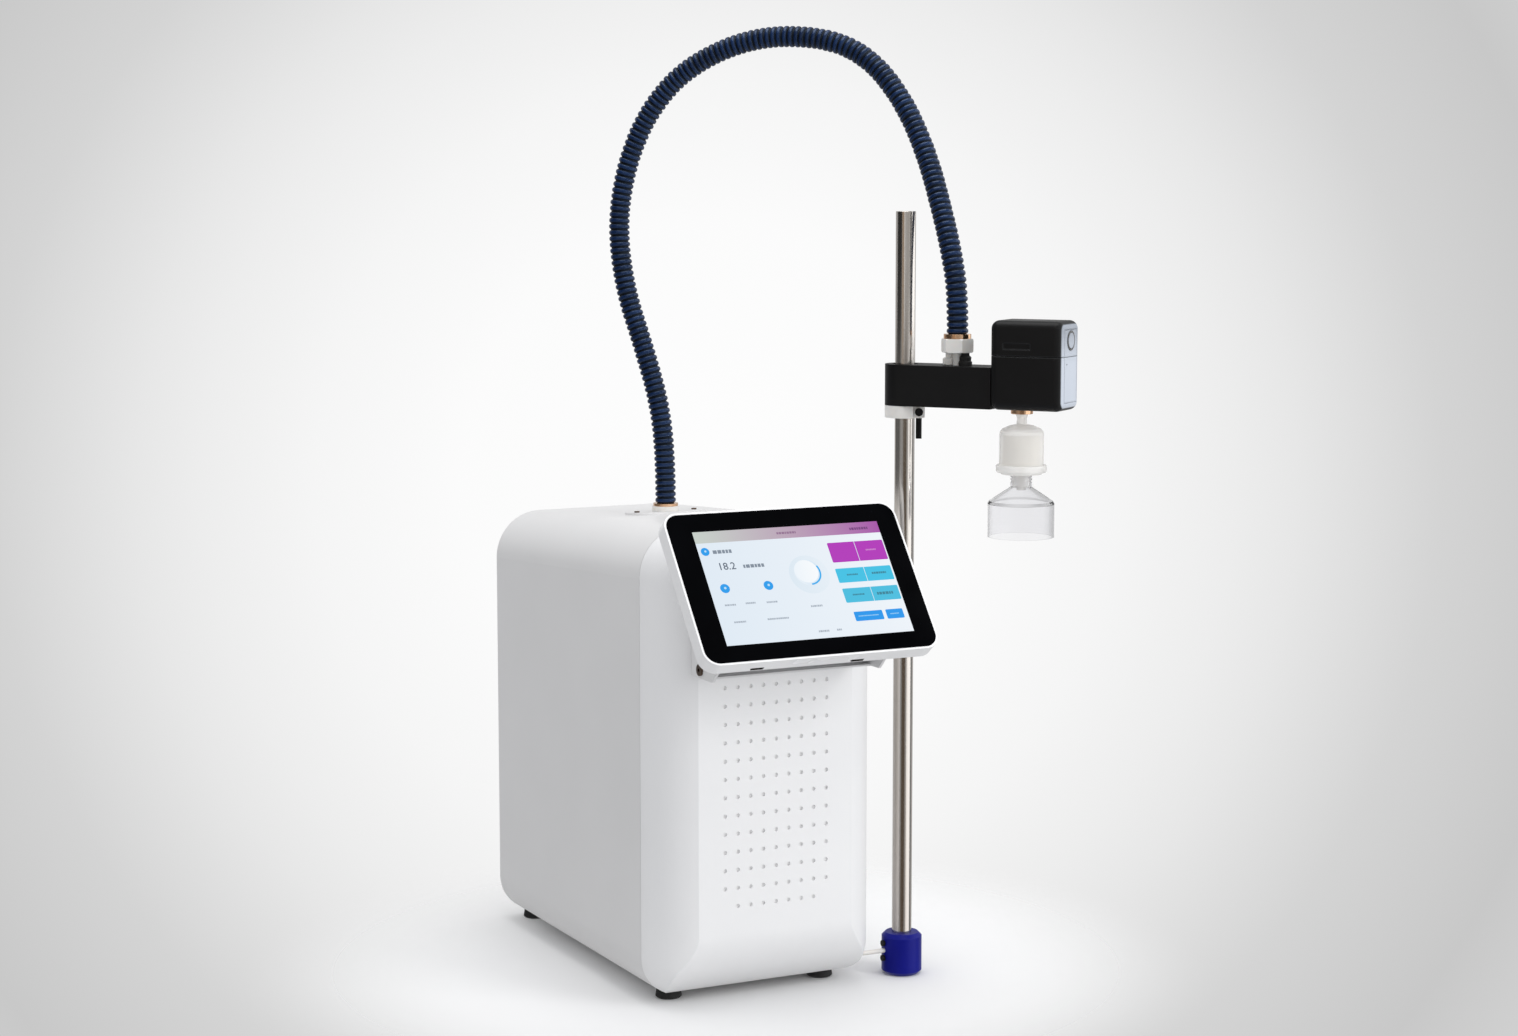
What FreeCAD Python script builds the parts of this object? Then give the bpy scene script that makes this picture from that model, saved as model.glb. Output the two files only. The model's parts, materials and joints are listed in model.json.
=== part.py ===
import FreeCAD, Part
import math
import os

# Ultrapure water system: a bench cabinet with a tilting touch screen, and a
# dispensing head on an arm that slides and swivels on a free-standing pole.
#
# Frame: millimetres, +Z up, +X to the right seen from the front, +Y to the
# back. The origin is on the pole's axis, at the underside of the pole's foot.

V = FreeCAD.Vector
UP = V(0, 0, 1)
ALONG_X = V(1, 0, 0)
ALONG_Y = V(0, 1, 0)

os.makedirs("parts", exist_ok=True)

# Cabinet
half_width = 134.0
pole_gap = 47.0             # cabinet's right side to the pole axis
cabinet_x = -(half_width + pole_gap)    # middle plane of the cabinet
cabinet_front = -44.0       # flat front plane of the cabinet
depth = 476.0
base_z = 8.0                # underside of the cabinet
front_height = 518.0        # height of the top at the front seam
rear_height = 492.0         # height of the top at the back
wall = 3.0
seam_depth = 57.0           # the front cover ends and the wrap cover starts
front_inset = 42.0          # how far the front plane draws in at each side
front_toe = 74.0            # radius under the front edge
bottom_corner = 44.0
top_corner = 54.0
rear_round = 12.0
seam_gap = 0.6
lip = 10.0                  # length of the lip that joins the two covers
lip_play = 0.25

# Vents in the front cover
vent_columns = 9
vent_rows = 12
vent_pitch_x = 15.2
vent_pitch_z = 19.8
vent_top_z = 350.0
vent_hole = 4.4
filter_mat_thickness = 5.0

# Feet and tray
foot_dia = 29.0
foot_x = 93.0
foot_front = 75.0
foot_rear = 21.0            # distance of the rear feet from the back
tray_sheet = 2.0
tray_half = 87.0
tray_flange = 34.0
screw_m5 = 2.5              # radius of an M5 screw
bolt_play = 0.3

# Screen, in its own plane
glass_w = 269.0
glass_h = 175.4
glass_corner = 15.0
glass_t = 2.0
rim = 2.6                   # white edge round the glass
housing_t = 20.0
housing_wall = 2.5
active_w = 217.0
active_h = 135.6
active_shift_x = 1.5        # the display sits a little right of the glass
active_shift_up = -1.4
display_t = 4.5
screen_tilt = 37.6          # degrees back from upright
screen_front = -62.4        # centre of the glass, forward of the front plane
screen_z = 468.8
screen_x = -1.5

# Screen mount and its hinge
mount_half = 100.0
mount_sheet = 3.0
mount_low_z = 367.0
pivot_front = -22.0
pivot_z = 376.0
pivot_r = 4.0
pivot_play = 0.05
mount_gap = 3.0             # between the mount's cheeks and the screen's back

# Pole, foot and link
pole_r = 11.0
pole_top = 850.0
pole_wall = 1.5
foot_r = 22.5
foot_h = 47.0
foot_chamfer = 4.0
foot_floor = 6.0            # solid blue base below the pole's end
foot_screw_step = 8.5       # clamp screws above and below the link rod
link_z = 27.5
link_r = 2.6

# Clamp collar and lever
slide_play = 0.05
collar_low = 625.3
collar_high = 638.7
collar_r = pole_r + 11.0
collar_split = 1.6
clamp_angle = -29.6         # degrees from +X to the side that clamps
clamp_reach = pole_r + 4.5  # clamp screw to pole axis
clamp_screw_r = 2.5
lever_len = 32.0
lever_w = 6.6

# Arm
arm_angle = -54.0           # degrees from +X
arm_low = 639.0
arm_high = 684.0
arm_half = 22.0
arm_wall = 3.0
bush_r = 14.0
gland_u = 62.0              # hose axis to pole axis
riser_step = 9.5            # tube nut and cable grommet to the hose axis

# Head
head_start = 110.0
head_end = 193.0
head_half = 27.0
head_low = 639.0
head_high = 735.0
head_split = 697.0
head_wall = 2.5
head_round = 9.0
head_gap = 0.5
plate_t = 1.5
button_z = 714.2
button_r = 8.6
button_ring_r = 10.5
button_travel = 2.5
button_play = 0.08

# Outlet, capsule filter and bell, all on one axis
outlet_u = 138.0
outlet_ring_r = 12.0
outlet_ring_h = 5.0
neck_r = 6.5
capsule_r = 24.0
capsule_wall = 2.0
capsule_low = 579.0
capsule_high = 616.0
dome_high = 623.0
flange_r = 27.5
flange_low = 571.0
nozzle_r = 6.0
nozzle_low = 551.0
bell_neck_r = 11.6
bell_neck_high = 568.0
bell_neck_low = 555.0
bell_skirt_high = 539.0
bell_r = 36.0
bell_low = 501.0
bell_wall = 1.8
seat_play = 0.3

# Hose
hose_r = 12.0
hose_root_r = 9.8
hose_bore_r = 7.0
rib_pitch = 6.8
hose_base = V(cabinet_x, 234.0, 516.0)
hose_collar_r = 15.5
ferrule_r = 14.2
ferrule_h = 3.0

# Middle line of the hose from the cabinet to the arm; the ends are straight
hose_route = [
    hose_base,
    V(cabinet_x, 234, 566), V(cabinet_x - 4, 240, 628), V(cabinet_x - 16, 256, 692),
    V(cabinet_x - 30, 278, 760), V(cabinet_x - 35, 287, 832), V(cabinet_x - 25, 284, 900),
    V(cabinet_x - 3, 270, 962), V(cabinet_x + 33, 241, 1012),
    V(-92, 185, 1044), V(-34, 124, 1042), V(2, 85, 1018), V(24, 47, 969),
    V(35, 14, 909), V(35, -19, 848), V(35, -38, 807),
]
hose_middle_run = 9         # the run whose middle parts the two spans


# Small helpers

def box(x0, x1, y0, y1, z0, z1):
    return Part.makeBox(x1 - x0, y1 - y0, z1 - z0, V(x0, y0, z0))


def cyl(radius, height, base, direction=UP):
    return Part.makeCylinder(radius, height, base, direction)


def tube(outer, inner, height, base, direction=UP):
    start = base - direction * 1.0
    return cyl(outer, height, base, direction).cut(cyl(inner, height + 2.0, start, direction))


def extrude(points, direction):
    """A prism from a closed outline of points."""
    return Part.Face(Part.makePolygon(points + [points[0]])).extrude(direction)


def ring(point, ahead, across, radius):
    """A circle about a point, square to the way ahead, that starts on the across side."""
    third = ahead.cross(across)
    circle = Part.Wire([Part.makeCircle(radius)])
    circle.Placement = FreeCAD.Placement(FreeCAD.Matrix(
        across.x, third.x, ahead.x, point.x,
        across.y, third.y, ahead.y, point.y,
        across.z, third.z, ahead.z, point.z, 0, 0, 0, 1))
    return circle


def revolve(profile, centre):
    """A turned piece; profile holds (radius, z) pairs."""
    points = [V(r, 0, z) for r, z in profile]
    face = Part.Face(Part.makePolygon(points + [points[0]]))
    turned = face.revolve(V(0, 0, 0), UP, 360)
    turned.translate(V(centre.x, centre.y, 0))
    return turned


def rounded(shape, radius, keep):
    """Round the edges that keep() accepts."""
    return shape.makeFillet(radius, [e for e in shape.Edges if keep(e)])


def runs_along(edge, axis):
    """True for a straight edge along the axis."""
    if len(edge.Vertexes) != 2:
        return False
    step = edge.Vertexes[1].Point - edge.Vertexes[0].Point
    return step.Length > 0.01 and abs(abs(step.normalize().dot(axis)) - 1.0) < 1e-4


def save(name, shape):
    if not shape.isValid():
        print("not valid:", name)
    shape.exportStep("parts/" + name + ".step")
    print(name, len(shape.Solids), "solids", round(shape.Volume / 1000.0, 2), "cm3")


def cab(dx, dy, z):
    """A point given from the cabinet's middle plane and front plane."""
    return V(cabinet_x + dx, cabinet_front + dy, z)


def cab_box(x0, x1, y0, y1, z0, z1):
    return box(cabinet_x + x0, cabinet_x + x1, cabinet_front + y0, cabinet_front + y1, z0, z1)


def top_at(dy):
    """Height of the cabinet's top, which falls gently to the back."""
    share = (dy - seam_depth) / (depth - seam_depth)
    return front_height + (rear_height - front_height) * share


# Cabinet sections: a rounded rectangle across the cabinet at one depth

def section(dy, side_in, top_in, low_in):
    half = half_width - side_in
    low = base_z + low_in
    high = top_at(dy) - top_in
    r_low = bottom_corner - 0.7 * side_in
    r_top = top_corner - 0.7 * side_in
    y = cabinet_front + dy

    def at(x, z):
        return V(cabinet_x + x, y, z)

    def corner(cx, cz, radius, start):
        mid, end = math.radians(start + 45), math.radians(start + 90)
        begin = math.radians(start)
        return Part.Arc(*[at(cx + radius * math.cos(a), cz + radius * math.sin(a))
                          for a in (begin, mid, end)]).toShape()

    def line(x0, z0, x1, z1):
        return Part.LineSegment(at(x0, z0), at(x1, z1)).toShape()

    return Part.Wire([
        line(half, low + r_low, half, high - r_top),
        corner(half - r_top, high - r_top, r_top, 0),
        line(half - r_top, high, -half + r_top, high),
        corner(-half + r_top, high - r_top, r_top, 90),
        line(-half, high - r_top, -half, low + r_low),
        corner(-half + r_low, low + r_low, r_low, 180),
        line(-half + r_low, low, half - r_low, low),
        corner(half - r_low, low + r_low, r_low, 270),
    ])


def front_draw(dy):
    """Inset of the front cover's side at a depth, on one arc."""
    radius = (front_inset ** 2 + seam_depth ** 2) / (2.0 * front_inset)
    return radius - math.sqrt(radius ** 2 - (seam_depth - dy) ** 2)


def front_block(skin):
    """The solid space inside a skin of the given thickness, front part."""
    reach = seam_depth - skin
    wires = []
    for share in (0.0, 0.16, 0.34, 0.55, 0.78, 1.0):
        dy = skin + reach * share
        draw = front_draw(seam_depth * share)
        wires.append(section(dy, draw + skin, draw + skin, 0.4 * draw + skin))
    return Part.makeLoft(wires, True, False)


def rear_block(skin):
    """The solid space inside a skin of the given thickness, main part."""
    straight = depth - rear_round
    main = Part.makeLoft([section(seam_depth, skin, skin, skin),
                          section(straight, skin, skin, skin)], True, True)
    wires = []
    for step in range(5):
        turn = math.radians(22.5 * step)
        draw = (rear_round - skin) * (1 - math.cos(turn)) + skin
        dy = straight + (rear_round - skin) * math.sin(turn)
        wires.append(section(dy, draw, draw, draw))
    return main.fuse(Part.makeLoft(wires, True, False))


def toe_cutter(skin):
    """Everything in front of and below the round toe of the cabinet."""
    y0, z0 = cabinet_front, base_z
    radius = front_toe - skin
    cy, cz = y0 + front_toe, z0 + front_toe
    left = cabinet_x - half_width - 20
    mid = math.radians(225)
    arc = Part.Arc(V(left, cy - radius, cz),
                   V(left, cy + radius * math.cos(mid), cz + radius * math.sin(mid)),
                   V(left, cy, cz - radius)).toShape()
    outline = Part.Wire([
        arc,
        Part.LineSegment(V(left, cy, cz - radius), V(left, cy, z0 - 30)).toShape(),
        Part.LineSegment(V(left, cy, z0 - 30), V(left, y0 - 30, z0 - 30)).toShape(),
        Part.LineSegment(V(left, y0 - 30, z0 - 30), V(left, y0 - 30, cz)).toShape(),
        Part.LineSegment(V(left, y0 - 30, cz), V(left, cy - radius, cz)).toShape(),
    ])
    return Part.Face(outline).extrude(V(2 * half_width + 40, 0, 0))


outer_front = front_block(0.0).cut(toe_cutter(0.0))
inner_front = front_block(wall).cut(toe_cutter(wall))
outer_rear = rear_block(0.0).cut(toe_cutter(0.0))
inner_rear = rear_block(wall).cut(toe_cutter(wall))
seam_y = cabinet_front + seam_depth


# Cabinet covers

def slab(y0, y1):
    """A slice of space between two depths, wider than the cabinet."""
    return cab_box(-half_width - 50, half_width + 50, y0, y1, -50, front_height + 100)


def vent_points():
    points = []
    for row in range(vent_rows + 1):
        columns = vent_columns if row < vent_rows else vent_columns - 2
        for column in range(columns):
            dx = (column - (columns - 1) / 2.0) * vent_pitch_x
            points.append(cab(dx, 0, vent_top_z - row * vent_pitch_z))
    return points


mount_bolts = [cab(dx, 0, z) for dx in (-70.0, 70.0) for z in (mount_low_z + 22, mount_low_z + 62)]


def make_front_cover():
    shell = outer_front.cut(inner_front).cut(slab(seam_depth - seam_gap, seam_depth + 5))
    holes = [cyl(vent_hole / 2, wall + 2, p - ALONG_Y, ALONG_Y) for p in vent_points()]
    holes += [cyl(screw_m5 - 0.5 + bolt_play, wall + 2, p - ALONG_Y, ALONG_Y) for p in mount_bolts]
    link = cyl(link_r + bolt_play, 60, V(cabinet_x + half_width - 30, 0, link_z), ALONG_X)
    return shell.cut(Part.makeCompound(holes)).cut(link)


def make_wrap_cover():
    shell = outer_rear.cut(inner_rear)
    shell = shell.cut(rear_opening(0.0))
    shell = shell.cut(cyl(hose_collar_r + lip_play, 60, V(hose_base.x, hose_base.y, hose_base.z - 50)))
    for p in foot_points():
        shell = shell.cut(cyl(screw_m5 + bolt_play, wall + 8, V(p.x, p.y, base_z - 2)))
    for p in plate_screw_points():
        shell = shell.cut(cyl(1.7, 30, V(p.x, p.y, p.z - 20)))
    return shell


def make_joining_lip():
    """A frame inside the seam that both covers push on to."""
    outer_skin = wall + lip_play
    block = front_block(outer_skin).fuse(rear_block(outer_skin)).cut(toe_cutter(outer_skin))
    core = front_block(outer_skin + 2).fuse(rear_block(outer_skin + 2)).cut(toe_cutter(outer_skin + 2))
    ring = block.cut(core)
    return ring.common(slab(seam_depth - lip, seam_depth + lip))


# The opening in the back and its panel

opening_half = 96.0
opening_low = 60.0
opening_high = 420.0
opening_corner = 10.0


def rear_opening(grow):
    shape = cab_box(-opening_half - grow, opening_half + grow, depth - wall - 1, depth + 1,
                    opening_low - grow, opening_high + grow)
    return rounded(shape, opening_corner + grow, lambda e: runs_along(e, ALONG_Y))


panel_t = 2.0
panel_lap = 9.0
panel_y0 = depth - wall - panel_t
fan_r = 38.0
fan_x = -42.0
fan_z = 350.0
inlet_x = 50.0
inlet_z = 110.0
port_zs = (200.0, 240.0, 280.0)
port_x = 55.0
port_tube_r = 4.05
port_r = 8.0
port_depth = 16.0
port_shank = 14.0
inlet_w = 48.0
inlet_h = 58.0


def panel_screw_points():
    half = opening_half + panel_lap / 2
    zs = (opening_low + 20, (opening_low + opening_high) / 2, opening_high - 20)
    return [cab(side * half, 0, z) for side in (-1, 1) for z in zs]


def make_rear_panel():
    grow = panel_lap
    panel = cab_box(-opening_half - grow, opening_half + grow, panel_y0, panel_y0 + panel_t,
                    opening_low - grow, opening_high + grow)
    panel = rounded(panel, opening_corner + grow, lambda e: runs_along(e, ALONG_Y))
    start = cabinet_front + panel_y0 - 1
    for ring, count in ((8.0, 6), (17.0, 12), (26.0, 18), (34.5, 24)):
        for index in range(count):
            turn = 2 * math.pi * index / count
            p = V(cabinet_x + fan_x + ring * math.cos(turn), start, fan_z + ring * math.sin(turn))
            panel = panel.cut(cyl(2.6, panel_t + 2, p, ALONG_Y))
    for z in port_zs:
        panel = panel.cut(cyl(port_r - 1.0 + 0.2, panel_t + 2, V(cabinet_x + port_x, start, z), ALONG_Y))
    panel = panel.cut(cab_box(inlet_x - inlet_w / 2 + 4, inlet_x + inlet_w / 2 - 4,
                              panel_y0 - 1, depth, inlet_z - inlet_h / 2 + 4, inlet_z + inlet_h / 2 - 4))
    return panel


def make_water_ports():
    """Three push-in bulkhead fittings: feed, product return and drain."""
    solids = []
    for z in port_zs:
        base = V(cabinet_x + port_x, cabinet_front + panel_y0 + panel_t, z)
        outer = cyl(port_r, port_depth, base, ALONG_Y)
        collet = cyl(port_r - 2, 2.0, base + ALONG_Y * port_depth, ALONG_Y)
        shank = cyl(port_r - 1.0, port_shank, base - ALONG_Y * port_shank, ALONG_Y)
        nut = tube(port_r + 2, port_r - 1.2, 5.0, base - ALONG_Y * (panel_t + 5.0), ALONG_Y)
        body = outer.fuse(collet).fuse(shank).fuse(nut)
        body = body.cut(cyl(port_tube_r, port_depth + 3.0, base, ALONG_Y))
        body = body.cut(cyl(port_tube_r - 1.0, 20.0, base - ALONG_Y * 15.0, ALONG_Y))
        solids.append(body)
    return Part.makeCompound(solids)


# Mains inlet with its rocker switch above the socket

socket_w = 27.0
socket_h = 19.0
socket_depth = 16.0
socket_z = inlet_z - 12.0
rocker_z = inlet_z + 13.0
rocker_w = 15.0
rocker_h = 20.0
rocker_angle = 7.0
inlet_flange = 2.5
inlet_depth = 24.0
rocker_pocket = 12.0
rocker_pin_r = 1.5


def make_power_inlet():
    face = panel_y0 + panel_t
    flange = cab_box(inlet_x - inlet_w / 2, inlet_x + inlet_w / 2, face, face + inlet_flange,
                     inlet_z - inlet_h / 2, inlet_z + inlet_h / 2)
    flange = rounded(flange, 3.0, lambda e: runs_along(e, ALONG_Y))
    barrel = cab_box(inlet_x - inlet_w / 2 + 4.3, inlet_x + inlet_w / 2 - 4.3, face - inlet_depth, face,
                     inlet_z - inlet_h / 2 + 4.3, inlet_z + inlet_h / 2 - 4.3)
    body = flange.fuse(barrel)
    out = face + inlet_flange
    body = body.cut(cab_box(inlet_x - socket_w / 2, inlet_x + socket_w / 2, out - socket_depth, out + 1,
                            socket_z - socket_h / 2, socket_z + socket_h / 2))
    body = body.cut(cab_box(inlet_x - rocker_w / 2 - 0.5, inlet_x + rocker_w / 2 + 0.5,
                            out - rocker_pocket, out + 1,
                            rocker_z - rocker_h / 2 - 0.6, rocker_z + rocker_h / 2 + 0.6))
    for side in (-1, 0, 1):
        pin = cab_box(inlet_x + side * 7 - 1, inlet_x + side * 7 + 1, out - socket_depth - 2,
                      out - socket_depth + 9, socket_z - 2.5, socket_z + 2.5)
        body = body.fuse(pin)
    pin_y = cabinet_front + out - 3.0
    pin = cyl(rocker_pin_r, rocker_w + 3, V(cabinet_x + inlet_x - rocker_w / 2 - 1.5, pin_y, rocker_z), ALONG_X)
    return body.fuse(pin)


def rocker_axis():
    return V(cabinet_x + inlet_x, cabinet_front + panel_y0 + panel_t + inlet_flange - 3.0, rocker_z)


def make_power_rocker():
    axis = rocker_axis()
    half = rocker_h / 2
    outline = [V(axis.x - rocker_w / 2, axis.y + dy, axis.z + dz)
               for dy, dz in ((-5.0, -4.0), (3.4, -half + 0.4), (2.2, 0.0), (3.4, half - 0.4), (-5.0, 4.0))]
    body = extrude(outline, V(rocker_w, 0, 0))
    body = body.cut(cyl(rocker_pin_r + pivot_play, rocker_w + 2,
                        V(axis.x - rocker_w / 2 - 1, axis.y, axis.z), ALONG_X))
    body.rotate(axis, ALONG_X, -rocker_angle)
    return body


# Feet and tray

def foot_points():
    return [cab(dx, dy, 0) for dx in (-foot_x, foot_x) for dy in (foot_front, depth - foot_rear)]


def make_feet():
    feet = []
    for p in foot_points():
        foot = revolve([(0, 0), (foot_dia / 2 - 1.5, 0), (foot_dia / 2, 1.5), (foot_dia / 2 - 1.0, base_z),
                        (foot_dia / 2 - 1.0, base_z + 12), (0, base_z + 12)], p)
        foot = foot.cut(outer_rear)
        foot = foot.cut(cyl(screw_m5 + bolt_play, 30, V(p.x, p.y, -1)))
        feet.append(foot.cut(cyl(5.4, 5.4, V(p.x, p.y, -1))))
    return Part.makeCompound(feet)


def make_foot_screws():
    screws = []
    for p in foot_points():
        low = V(p.x, p.y, 1.0)
        shank = cyl(screw_m5, base_z + 22, low)
        head = cyl(5.0, 3.0, V(p.x, p.y, 1.4))
        nut = cyl(4.6, 4.0, V(p.x, p.y, foot_nut_z()))
        screws.append(shank.fuse(head).fuse(nut).cut(box(p.x - 20, p.x + 20, p.y - 20, p.y + 20, -5, 1.4)))
    return Part.makeCompound(screws)


def corner_rise(dx):
    """How far the inside floor has risen at a distance from the middle."""
    radius = bottom_corner - 0.7 * wall
    over = max(0.0, dx - (half_width - wall - radius))
    return radius - math.sqrt(radius ** 2 - over ** 2)


def foot_nut_z():
    return base_z + wall + corner_rise(foot_x + 4.6) + 0.4


tray_z = base_z + wall + 0.2
tray_front = 40.0
tray_back = depth - wall - 14.0
tray_top = tray_z + tray_sheet


def make_tray():
    """Folded steel tray that carries everything inside."""
    rise = front_toe - math.sqrt(front_toe ** 2 - (front_toe - tray_front) ** 2)
    low = tray_z
    plate = cab_box(-tray_half, tray_half, front_toe, tray_back, low, low + tray_sheet)
    sides = [cab_box(x, x + tray_sheet, tray_front, tray_back, low + rise + 1.0, low + tray_flange)
             for x in (-tray_half, tray_half - tray_sheet)]
    joins = [cab_box(x, x + tray_sheet, front_toe, tray_back, low, low + tray_flange)
             for x in (-tray_half, tray_half - tray_sheet)]
    back = cab_box(-tray_half, tray_half, tray_back - tray_sheet, tray_back, low, low + tray_flange)
    tray = plate.fuse(sides + joins + [back])
    hole = cyl(link_r + bolt_play, 2 * tray_half, V(cabinet_x + 20, 0, link_z), ALONG_X)
    return tray.cut(hole)


# Things inside the cabinet

bulkhead_y = 92.0
bulkhead_t = 2.0
bulkhead_high = 440.0
cartridge_r = 44.0
cartridge_h = 320.0
cartridge_x = -38.0
cartridge_ys = (165.0, 265.0)
cup_h = 12.0
head_block_h = 34.0
uv_r = 26.0
uv_h = 300.0
uv_x = 52.0
uv_y = 150.0
pump_x = 48.0
pump_y = depth - 176.0
pump_z = 60.0
pump_r = 30.0


def make_bulkhead():
    plate = cab_box(-tray_half + 3, tray_half - 3, bulkhead_y, bulkhead_y + bulkhead_t, tray_top, bulkhead_high)
    foot = cab_box(-tray_half + 3, tray_half - 3, bulkhead_y, bulkhead_y + 16, tray_top, tray_top + 2)
    return plate.fuse(foot)


def make_cartridges():
    solids = []
    for y in cartridge_ys:
        p = cab(cartridge_x, y, tray_top)
        body = revolve([(0, tray_top), (cartridge_r - 4, tray_top), (cartridge_r, tray_top + 6),
                        (cartridge_r, tray_top + cartridge_h), (0, tray_top + cartridge_h)], p)
        solids.append(body)
    return Part.makeCompound(solids)


def make_cartridge_heads():
    solids = []
    top = tray_top + cartridge_h
    for y in cartridge_ys:
        p = cab(cartridge_x, y, 0)
        cap = cyl(cartridge_r + 2, head_block_h, V(p.x, p.y, top))
        arm_piece = cab_box(cartridge_x - 12, cartridge_x + 12, bulkhead_y + bulkhead_t, y, top + 8, top + 24)
        if y == cartridge_ys[0]:
            cap = cap.fuse(arm_piece)
        solids.append(cap)
    link = cab_box(cartridge_x - 12, cartridge_x + 12, cartridge_ys[0], cartridge_ys[1], top + 8, top + 24)
    return solids[0].fuse([solids[1], link])


def make_uv_chamber():
    p = cab(uv_x, uv_y, tray_top)
    return tube(uv_r, uv_r - 2, uv_h, V(p.x, p.y, tray_top + 14))


def make_uv_caps():
    p = cab(uv_x, uv_y, 0)
    low = tray_top
    base = cyl(uv_r + 4, 14, V(p.x, p.y, low))
    top = cyl(uv_r + 4, 14, V(p.x, p.y, low + 14 + uv_h))
    return Part.makeCompound([base, top])


def make_pump_motor():
    p = cab(pump_x, pump_y, pump_z)
    body = cyl(pump_r, 80, V(p.x, p.y, p.z), ALONG_Y)
    foot = box(p.x - 20, p.x + 20, p.y + 10, p.y + 70, tray_top, p.z - pump_r + 6)
    return body.fuse(foot)


def make_pump_head():
    p = cab(pump_x, pump_y, pump_z)
    block = box(p.x - 26, p.x + 26, p.y - 34, p.y, p.z - 26, p.z + 26)
    block = rounded(block, 6.0, lambda e: runs_along(e, ALONG_Y))
    ports = cyl(6.0, 14.0, V(p.x - 12, p.y - 17, p.z + 26))
    ports2 = cyl(6.0, 14.0, V(p.x + 12, p.y - 17, p.z + 26))
    return block.fuse([ports, ports2])


def make_solenoid_valve():
    y = cabinet_front + panel_y0 + panel_t - port_shank
    p = V(cabinet_x + port_x, y, port_zs[0])
    body = box(p.x - 14, p.x + 14, y - 26, y, p.z - 12, p.z + 12)
    coil = cyl(13.0, 30.0, V(p.x - 14, y - 13, p.z), V(-1, 0, 0))
    return body.fuse(coil)


def make_conductivity_cell():
    low = tray_top + 28 + uv_h
    p = cab(uv_x, uv_y, low)
    return cyl(11.0, 46.0, V(p.x, p.y, p.z)).fuse(cyl(16.0, 8.0, V(p.x, p.y, p.z)))


def make_control_board():
    y = bulkhead_y
    solids = cab_box(-68, 68, y - 9.6, y - 8, 262, 402)
    posts = [cyl(3.0, 8.0, cab(dx, y - 8, z), ALONG_Y) for dx in (-60, 60) for z in (270, 394)]
    chips = [cab_box(x, x + w, y - 9.6 - h, y - 9.6, z, z + d)
             for x, w, h, z, d in ((-50, 28, 3, 330, 28), (0, 40, 8, 290, 20), (20, 30, 12, 350, 30),
                                   (-40, 18, 10, 280, 24))]
    return solids.fuse(posts + chips)


def make_power_supply():
    return cab_box(-62, 62, bulkhead_y - 42, bulkhead_y, 90, 235)


def make_filter_mat():
    half = (vent_columns - 1) / 2.0 * vent_pitch_x + 8
    low = vent_top_z - vent_rows * vent_pitch_z - 8
    return cab_box(-half, half, wall, wall + filter_mat_thickness, low, vent_top_z + 8)


fan_depth = 25.0


def make_fan_frame():
    y1 = panel_y0
    body = cab_box(fan_x - fan_r - 3, fan_x + fan_r + 3, y1 - fan_depth, y1, fan_z - fan_r - 3, fan_z + fan_r + 3)
    bore = cyl(fan_r, fan_depth + 2, V(cabinet_x + fan_x, cabinet_front + y1 - fan_depth - 1, fan_z), ALONG_Y)
    body = body.cut(bore)
    hub = cyl(13.0, 4.0, V(cabinet_x + fan_x, cabinet_front + y1 - fan_depth, fan_z), ALONG_Y)
    shaft = cyl(2.0, 16.0, V(cabinet_x + fan_x, cabinet_front + y1 - fan_depth, fan_z), ALONG_Y)
    spokes = [cab_box(fan_x - fan_r - 1, fan_x + fan_r + 1, y1 - fan_depth, y1 - fan_depth + 3, fan_z - 2, fan_z + 2),
              cab_box(fan_x - 2, fan_x + 2, y1 - fan_depth, y1 - fan_depth + 3, fan_z - fan_r - 1, fan_z + fan_r + 1)]
    return body.fuse([hub, shaft] + spokes)


def make_fan_rotor():
    y0 = cabinet_front + panel_y0 - fan_depth + 4.3
    centre = V(cabinet_x + fan_x, y0, fan_z)
    hub = cyl(14.0, 15.0, centre, ALONG_Y)
    blades = []
    for index in range(7):
        blade = box(centre.x - 1.0, centre.x + 1.0, y0 + 1.0, y0 + 14.0, fan_z + 12.0, fan_z + fan_r - 1.5)
        blade.rotate(V(centre.x, y0 + 7.5, fan_z + 25), UP, 38)
        blade.rotate(centre, ALONG_Y, index * 360.0 / 7)
        blades.append(blade)
    rotor = hub.fuse(blades)
    return rotor.cut(cyl(2.0 + pivot_play, 12.2, centre - ALONG_Y * 0.1, ALONG_Y))


# Top fitting for the hose

slope = math.degrees(math.atan((front_height - rear_height) / (depth - seam_depth)))
plate_half = 48.0
plate_r = 27.0
plate_thick = 2.4


def plate_surface_z(y):
    return top_at(y - cabinet_front)


def plate_screw_points():
    z = plate_surface_z(hose_base.y)
    return [V(hose_base.x + dx, hose_base.y, z) for dx in (-36.0, 36.0)]


def lie_on_top(shape):
    """Tip a level piece on to the sloping top, about the hose's axis."""
    shape.rotate(V(hose_base.x, hose_base.y, plate_surface_z(hose_base.y)), ALONG_X, -slope)
    return shape


def make_top_plate():
    z = plate_surface_z(hose_base.y)
    body = box(hose_base.x - plate_half, hose_base.x + plate_half, hose_base.y - plate_r, hose_base.y + plate_r,
               z, z + plate_thick)
    body = rounded(body, plate_r - 1.0, lambda e: runs_along(e, UP))
    body = lie_on_top(body)
    body = body.cut(cyl(hose_collar_r + lip_play, 40, V(hose_base.x, hose_base.y, z - 20)))
    for p in plate_screw_points():
        body = body.cut(cyl(1.7, 30, V(p.x, p.y, p.z - 15)))
    return body


def make_top_plate_screws():
    solids = []
    for p in plate_screw_points():
        head = cyl(3.0, 1.6, V(p.x, p.y, p.z + plate_thick))
        shank = cyl(1.5, 14.0, V(p.x, p.y, p.z + plate_thick - 14.0))
        solids.append(lie_on_top(head.fuse(shank)))
    return solids


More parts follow.
